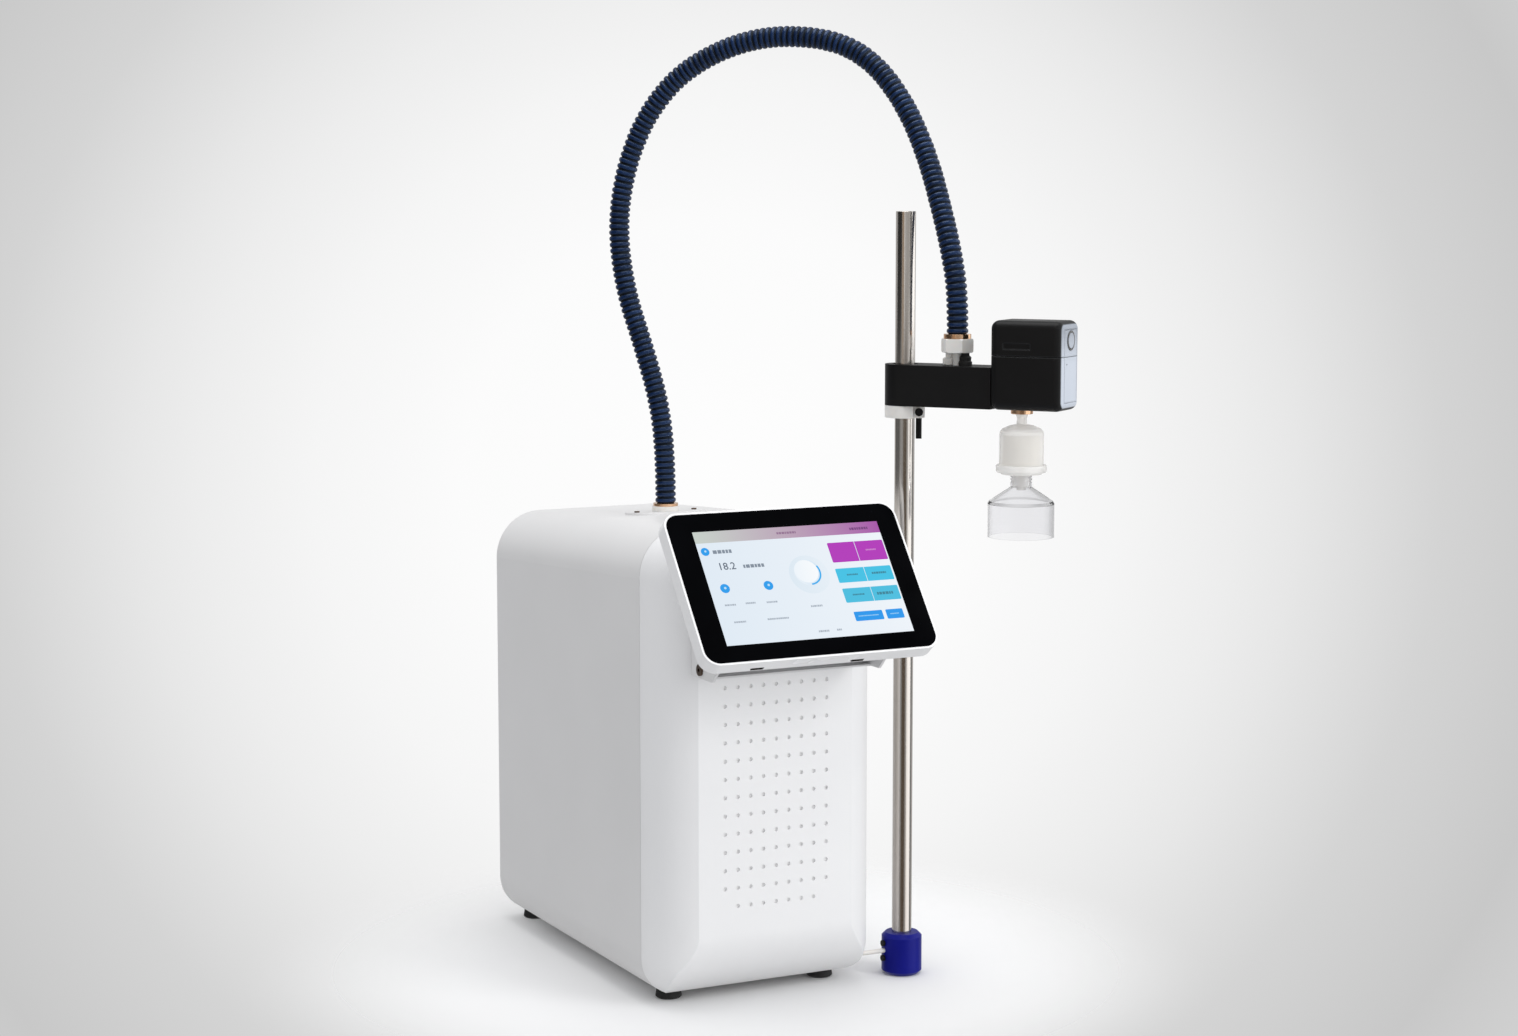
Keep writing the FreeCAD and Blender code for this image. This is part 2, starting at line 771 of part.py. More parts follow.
def make_hose_collar():
    """White round bulkhead bush with its nut under the cover."""
    top = hose_base.z - ferrule_h
    body = tube(hose_collar_r, hose_bore_r, 34.0, V(hose_base.x, hose_base.y, top - 34.0))
    under = plate_surface_z(hose_base.y) - wall - 5.0
    nut = tube(hose_collar_r + 6, hose_collar_r - 1, 5.0, V(hose_base.x, hose_base.y, under - 1.2))
    return body.fuse(nut.cut(outer_rear.cut(inner_rear)))


def make_base_ferrule():
    return tube(ferrule_r, hose_bore_r, ferrule_h, V(hose_base.x, hose_base.y, hose_base.z - ferrule_h))


# Screen: built upright round the centre of the glass, facing -Y, then tipped

def place_screen(shape):
    shape.rotate(V(0, 0, 0), ALONG_X, -screen_tilt)
    shape.translate(cab(screen_x, screen_front, screen_z))
    return shape


def slab_rounded(w, h, corner, y0, y1):
    shape = box(-w / 2, w / 2, y0, y1, -h / 2, h / 2)
    return rounded(shape, corner, lambda e: runs_along(e, ALONG_Y))


def make_glass():
    return place_screen(slab_rounded(glass_w, glass_h, glass_corner, 0.0, glass_t))


def make_display_panel():
    panel = box(active_shift_x * 2 - active_w / 2 - 2, active_shift_x * 2 + active_w / 2 + 2,
                glass_t, glass_t + display_t,
                active_shift_up - active_h / 2 - 2, active_shift_up + active_h / 2 + 2)
    return place_screen(panel)


slot_left = -76.0           # slots in the lower edge, from the glass centre
slot_right = 40.5
slot_w = 14.0
slot_t = 3.2
slot_in = 13.0              # slot's front side, behind the glass face
back_step = 2.0             # the back is a shallow step, a little smaller all round


def make_screen_housing():
    """White tray with a stepped back, open to the front for the glass."""
    w, h = glass_w + 2 * rim, glass_h + 2 * rim
    corner = glass_corner + rim
    front = slab_rounded(w, h, corner, 0.4, housing_t - back_step)
    back = slab_rounded(w - 5, h - 5, corner - 2.5, housing_t - back_step - 0.5, housing_t)
    body = front.fuse(back)
    pocket = slab_rounded(glass_w + 0.6, glass_h + 0.6, glass_corner + 0.3, -1, glass_t)
    inner = slab_rounded(glass_w - 8, glass_h - 8, glass_corner - 2, glass_t - 0.5, housing_t - housing_wall)
    body = body.cut(pocket).cut(inner)
    for x in (slot_left, slot_right):
        slot = box(x - slot_w / 2, x + slot_w / 2, slot_in, slot_in + slot_t, -h / 2 - 1, -h / 2 + 9)
        body = body.cut(slot)
    return place_screen(body)


def screen_back_point(up, behind):
    """A point given up the screen from the glass centre, behind the glass."""
    p = V(0, behind, up)
    turn = FreeCAD.Rotation(ALONG_X, -screen_tilt)
    return turn.multVec(p) + cab(screen_x, screen_front, screen_z)


ear_in = 3.4                # from the cheek's outside to the moving ear
ear_t = 4.0
eye_r = 6.4


def make_hinge_bracket():
    """Folded bracket on the screen's back, with an ear at each pivot."""
    low = screen_back_point(-70.0, housing_t)
    high = screen_back_point(30.0, housing_t)
    low_in = screen_back_point(-70.0, housing_t + 3.0)
    high_in = screen_back_point(30.0, housing_t + 3.0)
    x0 = cabinet_x - mount_half + ear_in
    width = 2 * (mount_half - ear_in)
    plate = extrude([V(x0, low.y, low.z), V(x0, high.y, high.z),
                     V(x0, high_in.y, high_in.z), V(x0, low_in.y, low_in.z)], V(width, 0, 0))
    pivot = cab(0, pivot_front, pivot_z)
    upper = screen_back_point(-18.0, housing_t + 0.5)
    ears = []
    for x in (x0, x0 + width - ear_t):
        web = extrude([V(x, low.y + 0.5, low.z - 0.3), V(x, upper.y, upper.z), V(x, pivot.y + 4, pivot.z + 8),
                       V(x, pivot.y, pivot.z - eye_r + 0.6)], V(ear_t, 0, 0))
        eye = cyl(eye_r, ear_t, V(x, pivot.y, pivot.z), ALONG_X)
        ears.append(web.fuse(eye))
    body = plate.fuse(ears)
    return body.cut(cyl(pivot_r + pivot_play, width + 4, V(x0 - 2, pivot.y, pivot.z), ALONG_X))


def make_screen_mount():
    """Fixed bracket on the cabinet front: back plate, two cheeks, floor."""
    high = screen_back_point(60.0, housing_t + mount_gap)
    low = screen_back_point(-68.0, housing_t + mount_gap)
    y0 = cabinet_front - mount_sheet
    y_front = cabinet_front
    x0 = cabinet_x - mount_half
    width = 2 * mount_half
    back = box(x0, x0 + width, y0, y_front, mount_low_z, mount_low_z + 90)
    floor = box(x0, x0 + width, y0 - 30, y_front, mount_low_z, mount_low_z + 2.0)
    top_y = min(y_front, high.y)
    top_z = high.z - (high.y - top_y) / math.tan(math.radians(screen_tilt))
    outline = [(y_front, mount_low_z), (low.y + 36, mount_low_z), (low.y + 6, low.z - 4), (low.y, low.z),
               (top_y, top_z), (y_front, top_z)]
    outline = [p for i, p in enumerate(outline) if i == 0 or p != outline[i - 1]]
    if outline[-1] == outline[-2]:
        outline.pop()
    cheeks = [extrude([V(x, y, z) for y, z in outline], V(mount_sheet, 0, 0))
              for x in (x0, x0 + width - mount_sheet)]
    body = back.fuse([floor] + cheeks)
    cover_space = outer_front.fuse(outer_rear)
    body = body.cut(cover_space)
    pivot = cab(0, pivot_front, pivot_z)
    body = body.cut(cyl(pivot_r + 0.1, width + 4, V(x0 - 2, pivot.y, pivot.z), ALONG_X))
    for p in mount_bolts:
        body = body.cut(cyl(2.0 + bolt_play, mount_sheet + 4, p - ALONG_Y * (mount_sheet + 2), ALONG_Y))
    return body


def make_pivot_screws():
    solids = []
    pivot = cab(0, pivot_front, pivot_z)
    for side in (-1, 1):
        outside = V(cabinet_x + side * mount_half, pivot.y, pivot.z)
        inward = ALONG_X * (-side)
        head = cyl(pivot_r + 2.2, 2.2, outside - inward * 2.2, inward)
        head = head.cut(cyl(2.0, 1.6, outside - inward * 2.2, inward))
        shank = cyl(pivot_r, mount_sheet + ear_in + ear_t + 2.0, outside, inward)
        solids.append(head.fuse(shank))
    return Part.makeCompound(solids)


def make_mount_screws():
    solids = []
    for p in mount_bolts:
        start = p - ALONG_Y * (mount_sheet + 2.4)
        head = cyl(3.6, 2.4, start, ALONG_Y)
        shank = cyl(2.0, mount_sheet + wall + 6.0, start, ALONG_Y)
        nut = cyl(3.6, 3.0, p + ALONG_Y * (wall + 0.05), ALONG_Y)
        solids.append(head.fuse([shank, nut]))
    return solids


# Pole, foot and link

pole_low = foot_floor


def make_pole():
    body = tube(pole_r, pole_r - pole_wall, pole_top - pole_low - 2.0, V(0, 0, pole_low))
    cap = cyl(pole_r, 2.0, V(0, 0, pole_top - 2.0))
    cap = rounded(cap, 0.8, lambda e: e.BoundBox.ZMin > pole_top - 0.1)
    return body.fuse(cap)


def foot_screw_zs():
    return (link_z + foot_screw_step, link_z - foot_screw_step)


def make_pole_foot():
    c = foot_chamfer
    body = revolve([(0, 0), (foot_r - c, 0), (foot_r, c), (foot_r, foot_h - c), (foot_r - c, foot_h), (0, foot_h)],
                   V(0, 0, 0))
    body = body.cut(cyl(pole_r + 0.05, foot_h, V(0, 0, pole_low)))
    for z in foot_screw_zs():
        body = body.cut(cyl(2.0, foot_r, V(-foot_r, 0, z), ALONG_X))
    return body.cut(cyl(link_r, foot_r - pole_r - 1.0, V(-foot_r, 0, link_z), ALONG_X))


def make_foot_set_screws():
    solids = []
    for z in foot_screw_zs():
        head = cyl(3.4, 3.0, V(-foot_r - 3.0, 0, z), ALONG_X)
        shank = cyl(1.9, foot_r - pole_r - 0.4, V(-foot_r, 0, z), ALONG_X)
        solids.append(head.fuse(shank))
    return Part.makeCompound(solids)


def make_link_rod():
    z = link_z
    end = -(pole_r + 1.5)
    start = cabinet_x + tray_half - 12.0
    rod = cyl(link_r - 0.05, end - start, V(start, 0, z), ALONG_X)
    inside = cabinet_x + tray_half
    nuts = [cyl(5.0, 4.0, V(inside + 0.05, 0, z), ALONG_X),
            cyl(5.0, 4.0, V(inside - tray_sheet - 4.05, 0, z), ALONG_X)]
    return rod.fuse(nuts)


# Clamp collar and lever: built with the clamp side along +X, then turned

def to_clamp(shape):
    shape.rotate(V(0, 0, 0), UP, clamp_angle)
    return shape


collar_mid = (collar_low + collar_high) / 2
clamp_flat = pole_r + 3.5   # flats on the collar for the nut and the lever
lever_y = clamp_flat + 0.3


def make_clamp_collar():
    body = tube(collar_r, pole_r + slide_play, collar_high - collar_low, V(0, 0, collar_low))
    body = body.cut(box(0, collar_r + 2, -collar_split / 2, collar_split / 2, collar_low - 1, collar_high + 1))
    body = body.cut(cyl(clamp_screw_r + slide_play, 80, V(clamp_reach, -40, collar_mid), ALONG_Y))
    for side in (-1, 1):
        flat = box(clamp_reach - 6.5, collar_r + 2, clamp_flat, collar_r + 2, collar_low - 1, collar_high + 1)
        body = body.cut(flat if side > 0 else flat.mirror(V(0, 0, 0), ALONG_Y))
    return to_clamp(body)


def make_clamp_lever():
    nut_y = -clamp_flat - 0.3 - 3.0
    screw = cyl(clamp_screw_r, lever_y + 4.0 - nut_y, V(clamp_reach, nut_y, collar_mid), ALONG_Y)
    nut = cyl(4.4, 3.0, V(clamp_reach, nut_y, collar_mid), ALONG_Y)
    hub = cyl(5.4, 8.0, V(clamp_reach, lever_y, collar_mid), ALONG_Y)
    handle = box(clamp_reach - lever_w / 2, clamp_reach + lever_w / 2, lever_y + 1.0, lever_y + 7.0,
                 collar_mid - lever_len, collar_mid)
    handle = rounded(handle, 2.4, lambda e: runs_along(e, UP))
    return to_clamp(screw.fuse([nut, hub, handle]))


# Arm and head: built with the arm along +X, then turned

def to_arm(shape):
    shape.rotate(V(0, 0, 0), UP, arm_angle)
    return shape


def arm_block(skin, z0, z1, end):
    half = arm_half - skin
    bar = box(0, end, -half, half, z0, z1)
    return bar.fuse(cyl(half, z1 - z0, V(0, 0, z0)))


def make_arm_shell():
    body = arm_block(0.0, arm_low, arm_high, head_start)
    body = body.removeSplitter()
    hollow = arm_block(arm_wall, arm_low + arm_wall, arm_high - arm_wall, head_start + 1)
    boss = cyl(bush_r + 3.0, arm_high - arm_low, V(0, 0, arm_low))
    body = body.cut(hollow).fuse(boss)
    body = body.cut(cyl(bush_r, arm_high - arm_low + 2, V(0, 0, arm_low - 1)))
    for du in (-riser_step, 0.0, riser_step):
        body = body.cut(cyl(5.0, 20, V(gland_u + du, 0, arm_high - 10)))
    return to_arm(body)


def make_arm_bush():
    return tube(bush_r - 0.05, pole_r + slide_play, arm_high - arm_low - 2.0, V(0, 0, arm_low + 1.0))


riser_top = 698.0
nut_top = 713.0
nut_af = 31.0


def hexagon(across_flats, height, base, turn=0.0):
    radius = across_flats / math.sqrt(3.0)
    points = [V(base.x + radius * math.cos(math.radians(turn + 60 * k)),
                base.y + radius * math.sin(math.radians(turn + 60 * k)), base.z) for k in range(6)]
    return extrude(points, V(0, 0, height))


def chamfered_nut(across_flats, height, base, turn=0.0):
    radius = across_flats / math.sqrt(3.0)
    cone = revolve([(0, base.z), (radius - 1.4, base.z), (radius + 0.1, base.z + 1.4),
                    (radius + 0.1, base.z + height - 1.4), (radius - 1.4, base.z + height),
                    (0, base.z + height)], base)
    return hexagon(across_flats, height, base, turn).common(cone)


def make_gland_stub():
    p = V(gland_u, 0, 0)
    stem = tube(4.8, 3.0, riser_top + 3.0 - arm_high + 6.0, V(p.x, 0, arm_high - 6.0))
    return to_arm(stem)


def make_tube_nut():
    base = V(gland_u - riser_step, 0, arm_high)
    nut = chamfered_nut(12.5, 8.0, base, 12.0)
    stem = cyl(4.6, 6.0, V(base.x, 0, arm_high - 6.0))
    upper = cyl(4.0, riser_top - arm_high - 8.0, V(base.x, 0, arm_high + 8.0))
    body = nut.fuse([stem, upper])
    return to_arm(body.cut(cyl(5.0, 40, V(gland_u, 0, arm_high - 10))))


def make_cable_grommet():
    base = V(gland_u + riser_step, 0, arm_high)
    body = revolve([(0, arm_high - 6), (4.6, arm_high - 6), (4.6, arm_high), (7.4, arm_high), (7.4, arm_high + 4),
                    (6.2, arm_high + 5), (6.6, arm_high + 9), (4.5, arm_high + 11), (4.5, riser_top),
                    (0, riser_top)], base)
    return to_arm(body.cut(cyl(5.0, 40, V(gland_u, 0, arm_high - 10))))


def make_gland_nut():
    base = V(gland_u, 0, riser_top)
    body = chamfered_nut(nut_af, nut_top - riser_top, base, 10.0)
    body = body.cut(cyl(4.8 + 0.02, 4.0, V(gland_u, 0, riser_top - 1.0)))
    return to_arm(body.cut(cyl(hose_bore_r, 20, V(gland_u, 0, riser_top + 3.0))))


def make_arm_ferrule():
    return to_arm(tube(ferrule_r + 0.8, hose_bore_r, 5.0, V(gland_u, 0, nut_top)))


def head_block(skin, z0, z1):
    body = box(head_start + skin, head_end - skin, -head_half + skin, head_half - skin,
               head_low + skin, head_high - skin)
    radius = head_round - skin
    body = body.makeFillet(radius, body.Edges)
    return body.common(box(0, 400, -100, 100, z0, z1))


def front_plate_space():
    return box(head_end - plate_t, head_end + 5, -head_half + head_round, head_half - head_round,
               head_low + head_round, head_high - head_round)


def button_bore(radius, x0):
    return cyl(radius, 40, V(x0, 0, button_z), ALONG_X)


def make_head_lower():
    top = head_split - head_gap / 2
    body = head_block(0.0, head_low, top).cut(head_block(head_wall, head_low, top + 1))
    body = body.cut(front_plate_space())
    body = body.cut(box(head_start - 1, head_start + 5, -arm_half + arm_wall, arm_half - arm_wall,
                        arm_low + arm_wall, arm_high - arm_wall))
    body = body.cut(cyl(neck_r + 2.0, 20, V(outlet_u, 0, head_low - 5)))
    return to_arm(body)


slot_low = 704.5
slot_high = 711.0


def make_head_upper():
    low = head_split + head_gap / 2
    body = head_block(0.0, low, head_high).cut(head_block(head_wall, low - 1, head_high))
    body = body.cut(front_plate_space())
    body = body.cut(button_bore(button_ring_r, head_end - 12))
    for side in (-1, 1):
        y = side * head_half
        body = body.cut(box(head_start + 16, head_start + 47, y - 1.0, y + 1.0, slot_low, slot_high))
    return to_arm(body)


def make_head_front_plates():
    lower = box(head_end - plate_t, head_end, -head_half + head_round + 0.2, head_half - head_round - 0.2,
                head_low + head_round + 0.2, head_split - head_gap / 2)
    upper = box(head_end - plate_t, head_end, -head_half + head_round + 0.2, head_half - head_round - 0.2,
                head_split + head_gap / 2, head_high - head_round - 0.2)
    upper = upper.cut(button_bore(button_ring_r, head_end - 12))
    lower = lower.cut(cyl(0.8, 10, V(head_end - 4, -11.0, 689.0), ALONG_X))
    return to_arm(Part.makeCompound([lower, upper]))


ring_back = 9.0
button_front = 0.8


def make_button_ring():
    """Black guide for the button, with the spring's seat at its back."""
    x0 = head_end - ring_back
    body = cyl(button_ring_r - 0.02, ring_back + 0.6, V(x0, 0, button_z), ALONG_X)
    return to_arm(body.cut(cyl(button_r + button_play, ring_back + 2, V(x0 + 1.6, 0, button_z), ALONG_X)))


def make_dispense_button():
    x1 = head_end + button_front
    body = cyl(button_r, 4.0, V(x1 - 4.0, 0, button_z), ALONG_X)
    body = rounded(body, 0.6, lambda e: e.BoundBox.XMin > x1 - 0.1)
    stem = cyl(2.0, 1.0, V(x1 - 4.8, 0, button_z), ALONG_X)
    return to_arm(body.fuse(stem))


def make_button_spring():
    """A small compression spring between the guide's floor and the button."""
    low = head_end - ring_back + 1.6
    high = head_end + button_front - 4.0
    wire = 0.35
    coil_r = 4.2
    turns = 3
    steps = 14 * turns
    rise = high - low - 2 * wire - 0.1
    rings = []
    for step in range(steps + 1):
        turn = 2 * math.pi * turns * step / steps
        out = V(0, math.cos(turn), math.sin(turn))
        ahead = V(rise / (2 * math.pi * turns), -coil_r * math.sin(turn), coil_r * math.cos(turn)).normalize()
        centre = V(low + wire + 0.05 + rise * step / steps, 0, button_z) + out * coil_r
        rings.append(ring(centre, ahead, out, wire))
    return to_arm(Part.makeLoft(rings, True, True))


def make_dispense_valve():
    block = box(outlet_u - 13, outlet_u + 13, -13, 13, head_low + head_wall, head_low + 38)
    coil = cyl(11.0, 18.0, V(outlet_u, 0, head_low + 38))
    body = block.fuse(coil)
    return to_arm(body.cut(cyl(3.0, 30, V(outlet_u, 0, head_low - 1))))


def make_outlet_ring():
    """Brass outlet collar under the head, threaded into the valve's seat."""
    low = head_low - outlet_ring_h
    flange = cyl(outlet_ring_r, outlet_ring_h, V(outlet_u, 0, low))
    flange = rounded(flange, 0.8, lambda e: e.BoundBox.ZMax < low + 0.1)
    stem = cyl(neck_r + 1.9, head_wall, V(outlet_u, 0, head_low))
    return to_arm(flange.fuse(stem).cut(cyl(3.0, 40, V(outlet_u, 0, low - 5))))


# Capsule filter and bell, turned pieces on the outlet's axis

def to_outlet(profile):
    return to_arm(revolve(profile, V(outlet_u, 0, 0)))


neck_top = head_low - outlet_ring_h - seat_play


def make_capsule_shell():
    w = capsule_wall
    shoulder = capsule_r - 3.0
    return to_outlet([
        (3.0, neck_top), (neck_r, neck_top), (neck_r - 1.2, neck_top - 5), (neck_r - 0.8, dome_high),
        (shoulder - 8, dome_high - 1.5), (shoulder, capsule_high + 2), (capsule_r - 0.6, capsule_high - 1),
        (capsule_r, capsule_high - 4), (capsule_r, capsule_low), (capsule_r - w, capsule_low),
        (capsule_r - w, capsule_high - 4), (shoulder - w, capsule_high - 1), (3.0, dome_high - 4),
    ])


def make_capsule_core():
    return to_outlet([
        (4.0, capsule_low + 0.05), (capsule_r - capsule_wall - 2.0, capsule_low + 0.05),
        (capsule_r - capsule_wall - 2.0, capsule_high - 6), (4.0, capsule_high - 6),
    ])


def make_capsule_base():
    r = nozzle_r
    return to_outlet([
        (3.0, capsule_low), (flange_r - 0.8, capsule_low), (flange_r, capsule_low - 0.8),
        (flange_r, flange_low + 1.5), (flange_r - 1.2, flange_low), (capsule_r - 1, flange_low),
        (capsule_r - 2, flange_low - 2), (bell_neck_r - bell_wall - 0.6, flange_low - 2),
        (bell_neck_r - bell_wall - 0.6, bell_neck_low), (r, bell_neck_low), (r - 1, nozzle_low), (3.0, nozzle_low),
    ])


def make_bell():
    w = bell_wall
    points_out = [(bell_neck_r - w - 0.3, bell_neck_high)]
    points_out += [(bell_neck_r, bell_neck_high), (bell_neck_r, bell_neck_high - 2)]
    ridges = 2
    for index in range(ridges):
        z = bell_neck_high - 4.0 - index * 4.0
        points_out += [(bell_neck_r - 0.9, z + 1.6), (bell_neck_r - 0.9, z + 1.0), (bell_neck_r, z), (bell_neck_r, z - 0.9)]
    points_out += [(bell_neck_r, bell_neck_low), (bell_r - 1.5, bell_skirt_high + 1.0), (bell_r, bell_skirt_high - 2),
                   (bell_r, bell_low), (bell_r - w, bell_low), (bell_r - w, bell_skirt_high - 2.6),
                   (bell_neck_r - w - 0.3, bell_neck_low - 1.6)]
    return to_outlet(points_out)


# Hose: straight runs joined by tangent arcs, with ribs along it

gland_point = V(gland_u * math.cos(math.radians(arm_angle)), gland_u * math.sin(math.radians(arm_angle)),
                nut_top + 5.0)
hose_end_run = 44.0
hose_points = hose_route + [V(gland_point.x, gland_point.y, gland_point.z + hose_end_run), gland_point]
steady = V(hose_points[0].y - hose_points[-1].y, hose_points[-1].x - hose_points[0].x, 0).normalize()


def route_pieces(points):
    """Straight and round pieces of the middle line, as (length, place) pairs."""
    pieces = []
    start = points[0]
    radii = []
    for before, corner_point, after in zip(points, points[1:], points[2:]):
        run_in, run_out = corner_point - before, after - corner_point
        d_in, d_out = V(run_in).normalize(), V(run_out).normalize()
        turn = math.acos(max(-1.0, min(1.0, d_in.dot(d_out))))
        reach = 0.45 * min(run_in.Length, run_out.Length)
        radius = reach / math.tan(turn / 2)
        radii.append(radius)
        arc_start = corner_point - d_in * reach
        pieces.append(("line", start, d_in, (arc_start - start).Length, None, 0))
        side = (d_out - d_in * d_in.dot(d_out)).normalize()
        pieces.append(("arc", arc_start, d_in, radius * turn, side, radius))
        start = corner_point + d_out * reach
    last = points[-1] - start
    pieces.append(("line", start, V(last).normalize(), last.Length, None, 0))
    return pieces, radii


hose_pieces, hose_radii = route_pieces(hose_points)
hose_length = sum(piece[3] for piece in hose_pieces)


def place_at(distance):
    """Point and direction on the middle line at a distance from its start."""
    for kind, start, ahead, length, side, radius in hose_pieces:
        if distance <= length + 1e-9:
            break
        distance -= length
    if kind == "line":
        return start + ahead * distance, ahead
    turn = distance / radius
    point = start + ahead * (radius * math.sin(turn)) + side * (radius * (1 - math.cos(turn)))
    return point, ahead * math.cos(turn) + side * math.sin(turn)


def ring_at(distance, radius):
    point, ahead = place_at(distance)
    across = (steady - ahead * steady.dot(ahead)).normalize()
    return ring(point, ahead, across, radius)


def middle_distance():
    """Distance to the middle of the run that parts the two spans."""
    middle = (hose_points[hose_middle_run] + hose_points[hose_middle_run + 1]) * 0.5
    steps = [hose_length * k / 4000.0 for k in range(4001)]
    return min(steps, key=lambda s: (place_at(s)[0] - middle).Length)


def make_hose_span(start, end):
    """Ribbed tube between two distances, with a smooth bore."""
    count = max(2, round((end - start) / rib_pitch))
    pitch = (end - start) / count
    outside = []
    bore = []
    for rib in range(count):
        s = start + rib * pitch
        for share, radius in ((0.0, hose_root_r), (0.22, hose_root_r), (0.38, hose_r), (0.84, hose_r)):
            outside.append(ring_at(s + share * pitch, radius))
        bore.append(ring_at(s, hose_bore_r))
    outside.append(ring_at(end, hose_root_r))
    bore.append(ring_at(end, hose_bore_r))
    solid = Part.makeLoft(outside, True, True)
    return solid.cut(Part.makeLoft(bore, True, True)), count


# Build

save("front_cover", make_front_cover())
save("wrap_cover", make_wrap_cover())
save("joining_lip", make_joining_lip())
save("filter_mat", make_filter_mat())
save("rear_panel", make_rear_panel())
save("water_ports", make_water_ports())
save("power_inlet", make_power_inlet())
save("power_rocker", make_power_rocker())
save("fan_frame", make_fan_frame())
save("fan_rotor", make_fan_rotor())
save("rubber_feet", make_feet())
save("foot_screws", make_foot_screws())
save("chassis_tray", make_tray())
save("bulkhead", make_bulkhead())
save("resin_cartridges", make_cartridges())
save("cartridge_heads", make_cartridge_heads())
save("uv_chamber", make_uv_chamber())
save("uv_caps", make_uv_caps())
save("pump_motor", make_pump_motor())
save("pump_head", make_pump_head())
save("solenoid_valve", make_solenoid_valve())
save("conductivity_cell", make_conductivity_cell())
save("control_board", make_control_board())
save("power_supply", make_power_supply())
save("top_plate", make_top_plate())
save("hose_collar", make_hose_collar())
save("base_ferrule", make_base_ferrule())
save("screen_mount", make_screen_mount())
save("cover_screws", Part.makeCompound(make_mount_screws() + make_top_plate_screws()))
save("pivot_screws", make_pivot_screws())
save("hinge_bracket", make_hinge_bracket())
save("screen_housing", make_screen_housing())
save("display_panel", make_display_panel())
save("screen_glass", make_glass())
save("pole", make_pole())
save("pole_foot", make_pole_foot())
save("foot_set_screws", make_foot_set_screws())
save("link_rod", make_link_rod())
save("clamp_collar", make_clamp_collar())
save("clamp_lever", make_clamp_lever())
save("arm_shell", make_arm_shell())
save("arm_bush", make_arm_bush())
save("gland_fittings", Part.makeCompound([make_gland_stub(), make_tube_nut()]))
save("cable_grommet", make_cable_grommet())
save("gland_nut", make_gland_nut())
save("arm_ferrule", make_arm_ferrule())
save("head_lower", make_head_lower())
save("head_upper", make_head_upper())
save("head_front_plates", make_head_front_plates())
save("button_ring", make_button_ring())
save("dispense_button", make_dispense_button())
save("button_spring", make_button_spring())
save("dispense_valve", make_dispense_valve())
save("outlet_ring", make_outlet_ring())
save("capsule_shell", make_capsule_shell())
save("capsule_core", make_capsule_core())
save("capsule_base", make_capsule_base())
save("bell", make_bell())
halfway = middle_distance()
rise, rise_ribs = make_hose_span(0.0, halfway)
fall, fall_ribs = make_hose_span(halfway, hose_length)
save("hose_rise", rise)
save("hose_fall", fall)
print("hose length", round(hose_length, 1), "ribs", rise_ribs + fall_ribs,
      "radii", [round(r) for r in hose_radii], "halfway", round(halfway, 1))
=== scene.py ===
# %% [markdown]
# An ultrapure water system stands on a lab bench: a white cabinet with a tilted touch screen,
# and a black dispensing head on an arm that slides and swivels on a steel pole.
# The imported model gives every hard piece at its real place, so this lesson only makes what is
# soft or lit (the ribbed hose and the picture on the screen), and gives every piece its finish.

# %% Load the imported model
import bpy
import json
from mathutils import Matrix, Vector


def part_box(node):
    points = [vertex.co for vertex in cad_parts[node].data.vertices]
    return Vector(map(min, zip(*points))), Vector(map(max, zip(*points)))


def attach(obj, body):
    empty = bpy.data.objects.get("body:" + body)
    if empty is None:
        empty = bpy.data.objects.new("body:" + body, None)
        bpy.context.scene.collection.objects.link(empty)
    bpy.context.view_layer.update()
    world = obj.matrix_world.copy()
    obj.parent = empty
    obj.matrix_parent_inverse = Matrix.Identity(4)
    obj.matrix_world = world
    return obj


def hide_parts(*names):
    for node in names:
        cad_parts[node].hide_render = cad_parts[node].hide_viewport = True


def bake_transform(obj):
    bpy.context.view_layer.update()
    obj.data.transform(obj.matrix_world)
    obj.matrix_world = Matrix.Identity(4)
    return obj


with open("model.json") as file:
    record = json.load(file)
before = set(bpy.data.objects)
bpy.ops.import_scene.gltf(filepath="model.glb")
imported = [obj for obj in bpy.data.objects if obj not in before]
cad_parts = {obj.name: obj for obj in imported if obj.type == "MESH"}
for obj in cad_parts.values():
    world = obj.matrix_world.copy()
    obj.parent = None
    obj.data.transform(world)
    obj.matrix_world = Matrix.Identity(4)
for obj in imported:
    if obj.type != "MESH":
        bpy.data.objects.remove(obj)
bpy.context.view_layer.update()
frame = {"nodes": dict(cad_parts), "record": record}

import json
import math
import random

import bmesh
import bpy
from mathutils import Matrix, Vector

MM = 0.001
scene = bpy.context.scene

# %% [markdown]
# A photograph is matched by one camera: where it stood, which way it looked, and its lens.
# A longer lens from further away keeps the cabinet's sides nearly parallel. The place here is
# measured from the pole's foot, in metres, and the sensor is 36 mm wide.

# %% Camera
camera_place = (-1.5451, -2.7029, 0.8846)
camera_down = 6.804
camera_right = 26.808
camera_lens = 67.352

lens = bpy.data.cameras.new("photo_camera")
lens.lens = camera_lens
lens.sensor_width = 36.0
lens.clip_end = 60.0
camera = bpy.data.objects.new("photo_camera", lens)
camera.location = camera_place
camera.rotation_euler = (math.radians(90 - camera_down), 0, -math.radians(camera_right))
scene.collection.objects.link(camera)
scene.camera = camera
looking = camera.rotation_euler.to_matrix() @ Vector((0, 0, -1))
print("camera looks along", tuple(round(v, 3) for v in looking))
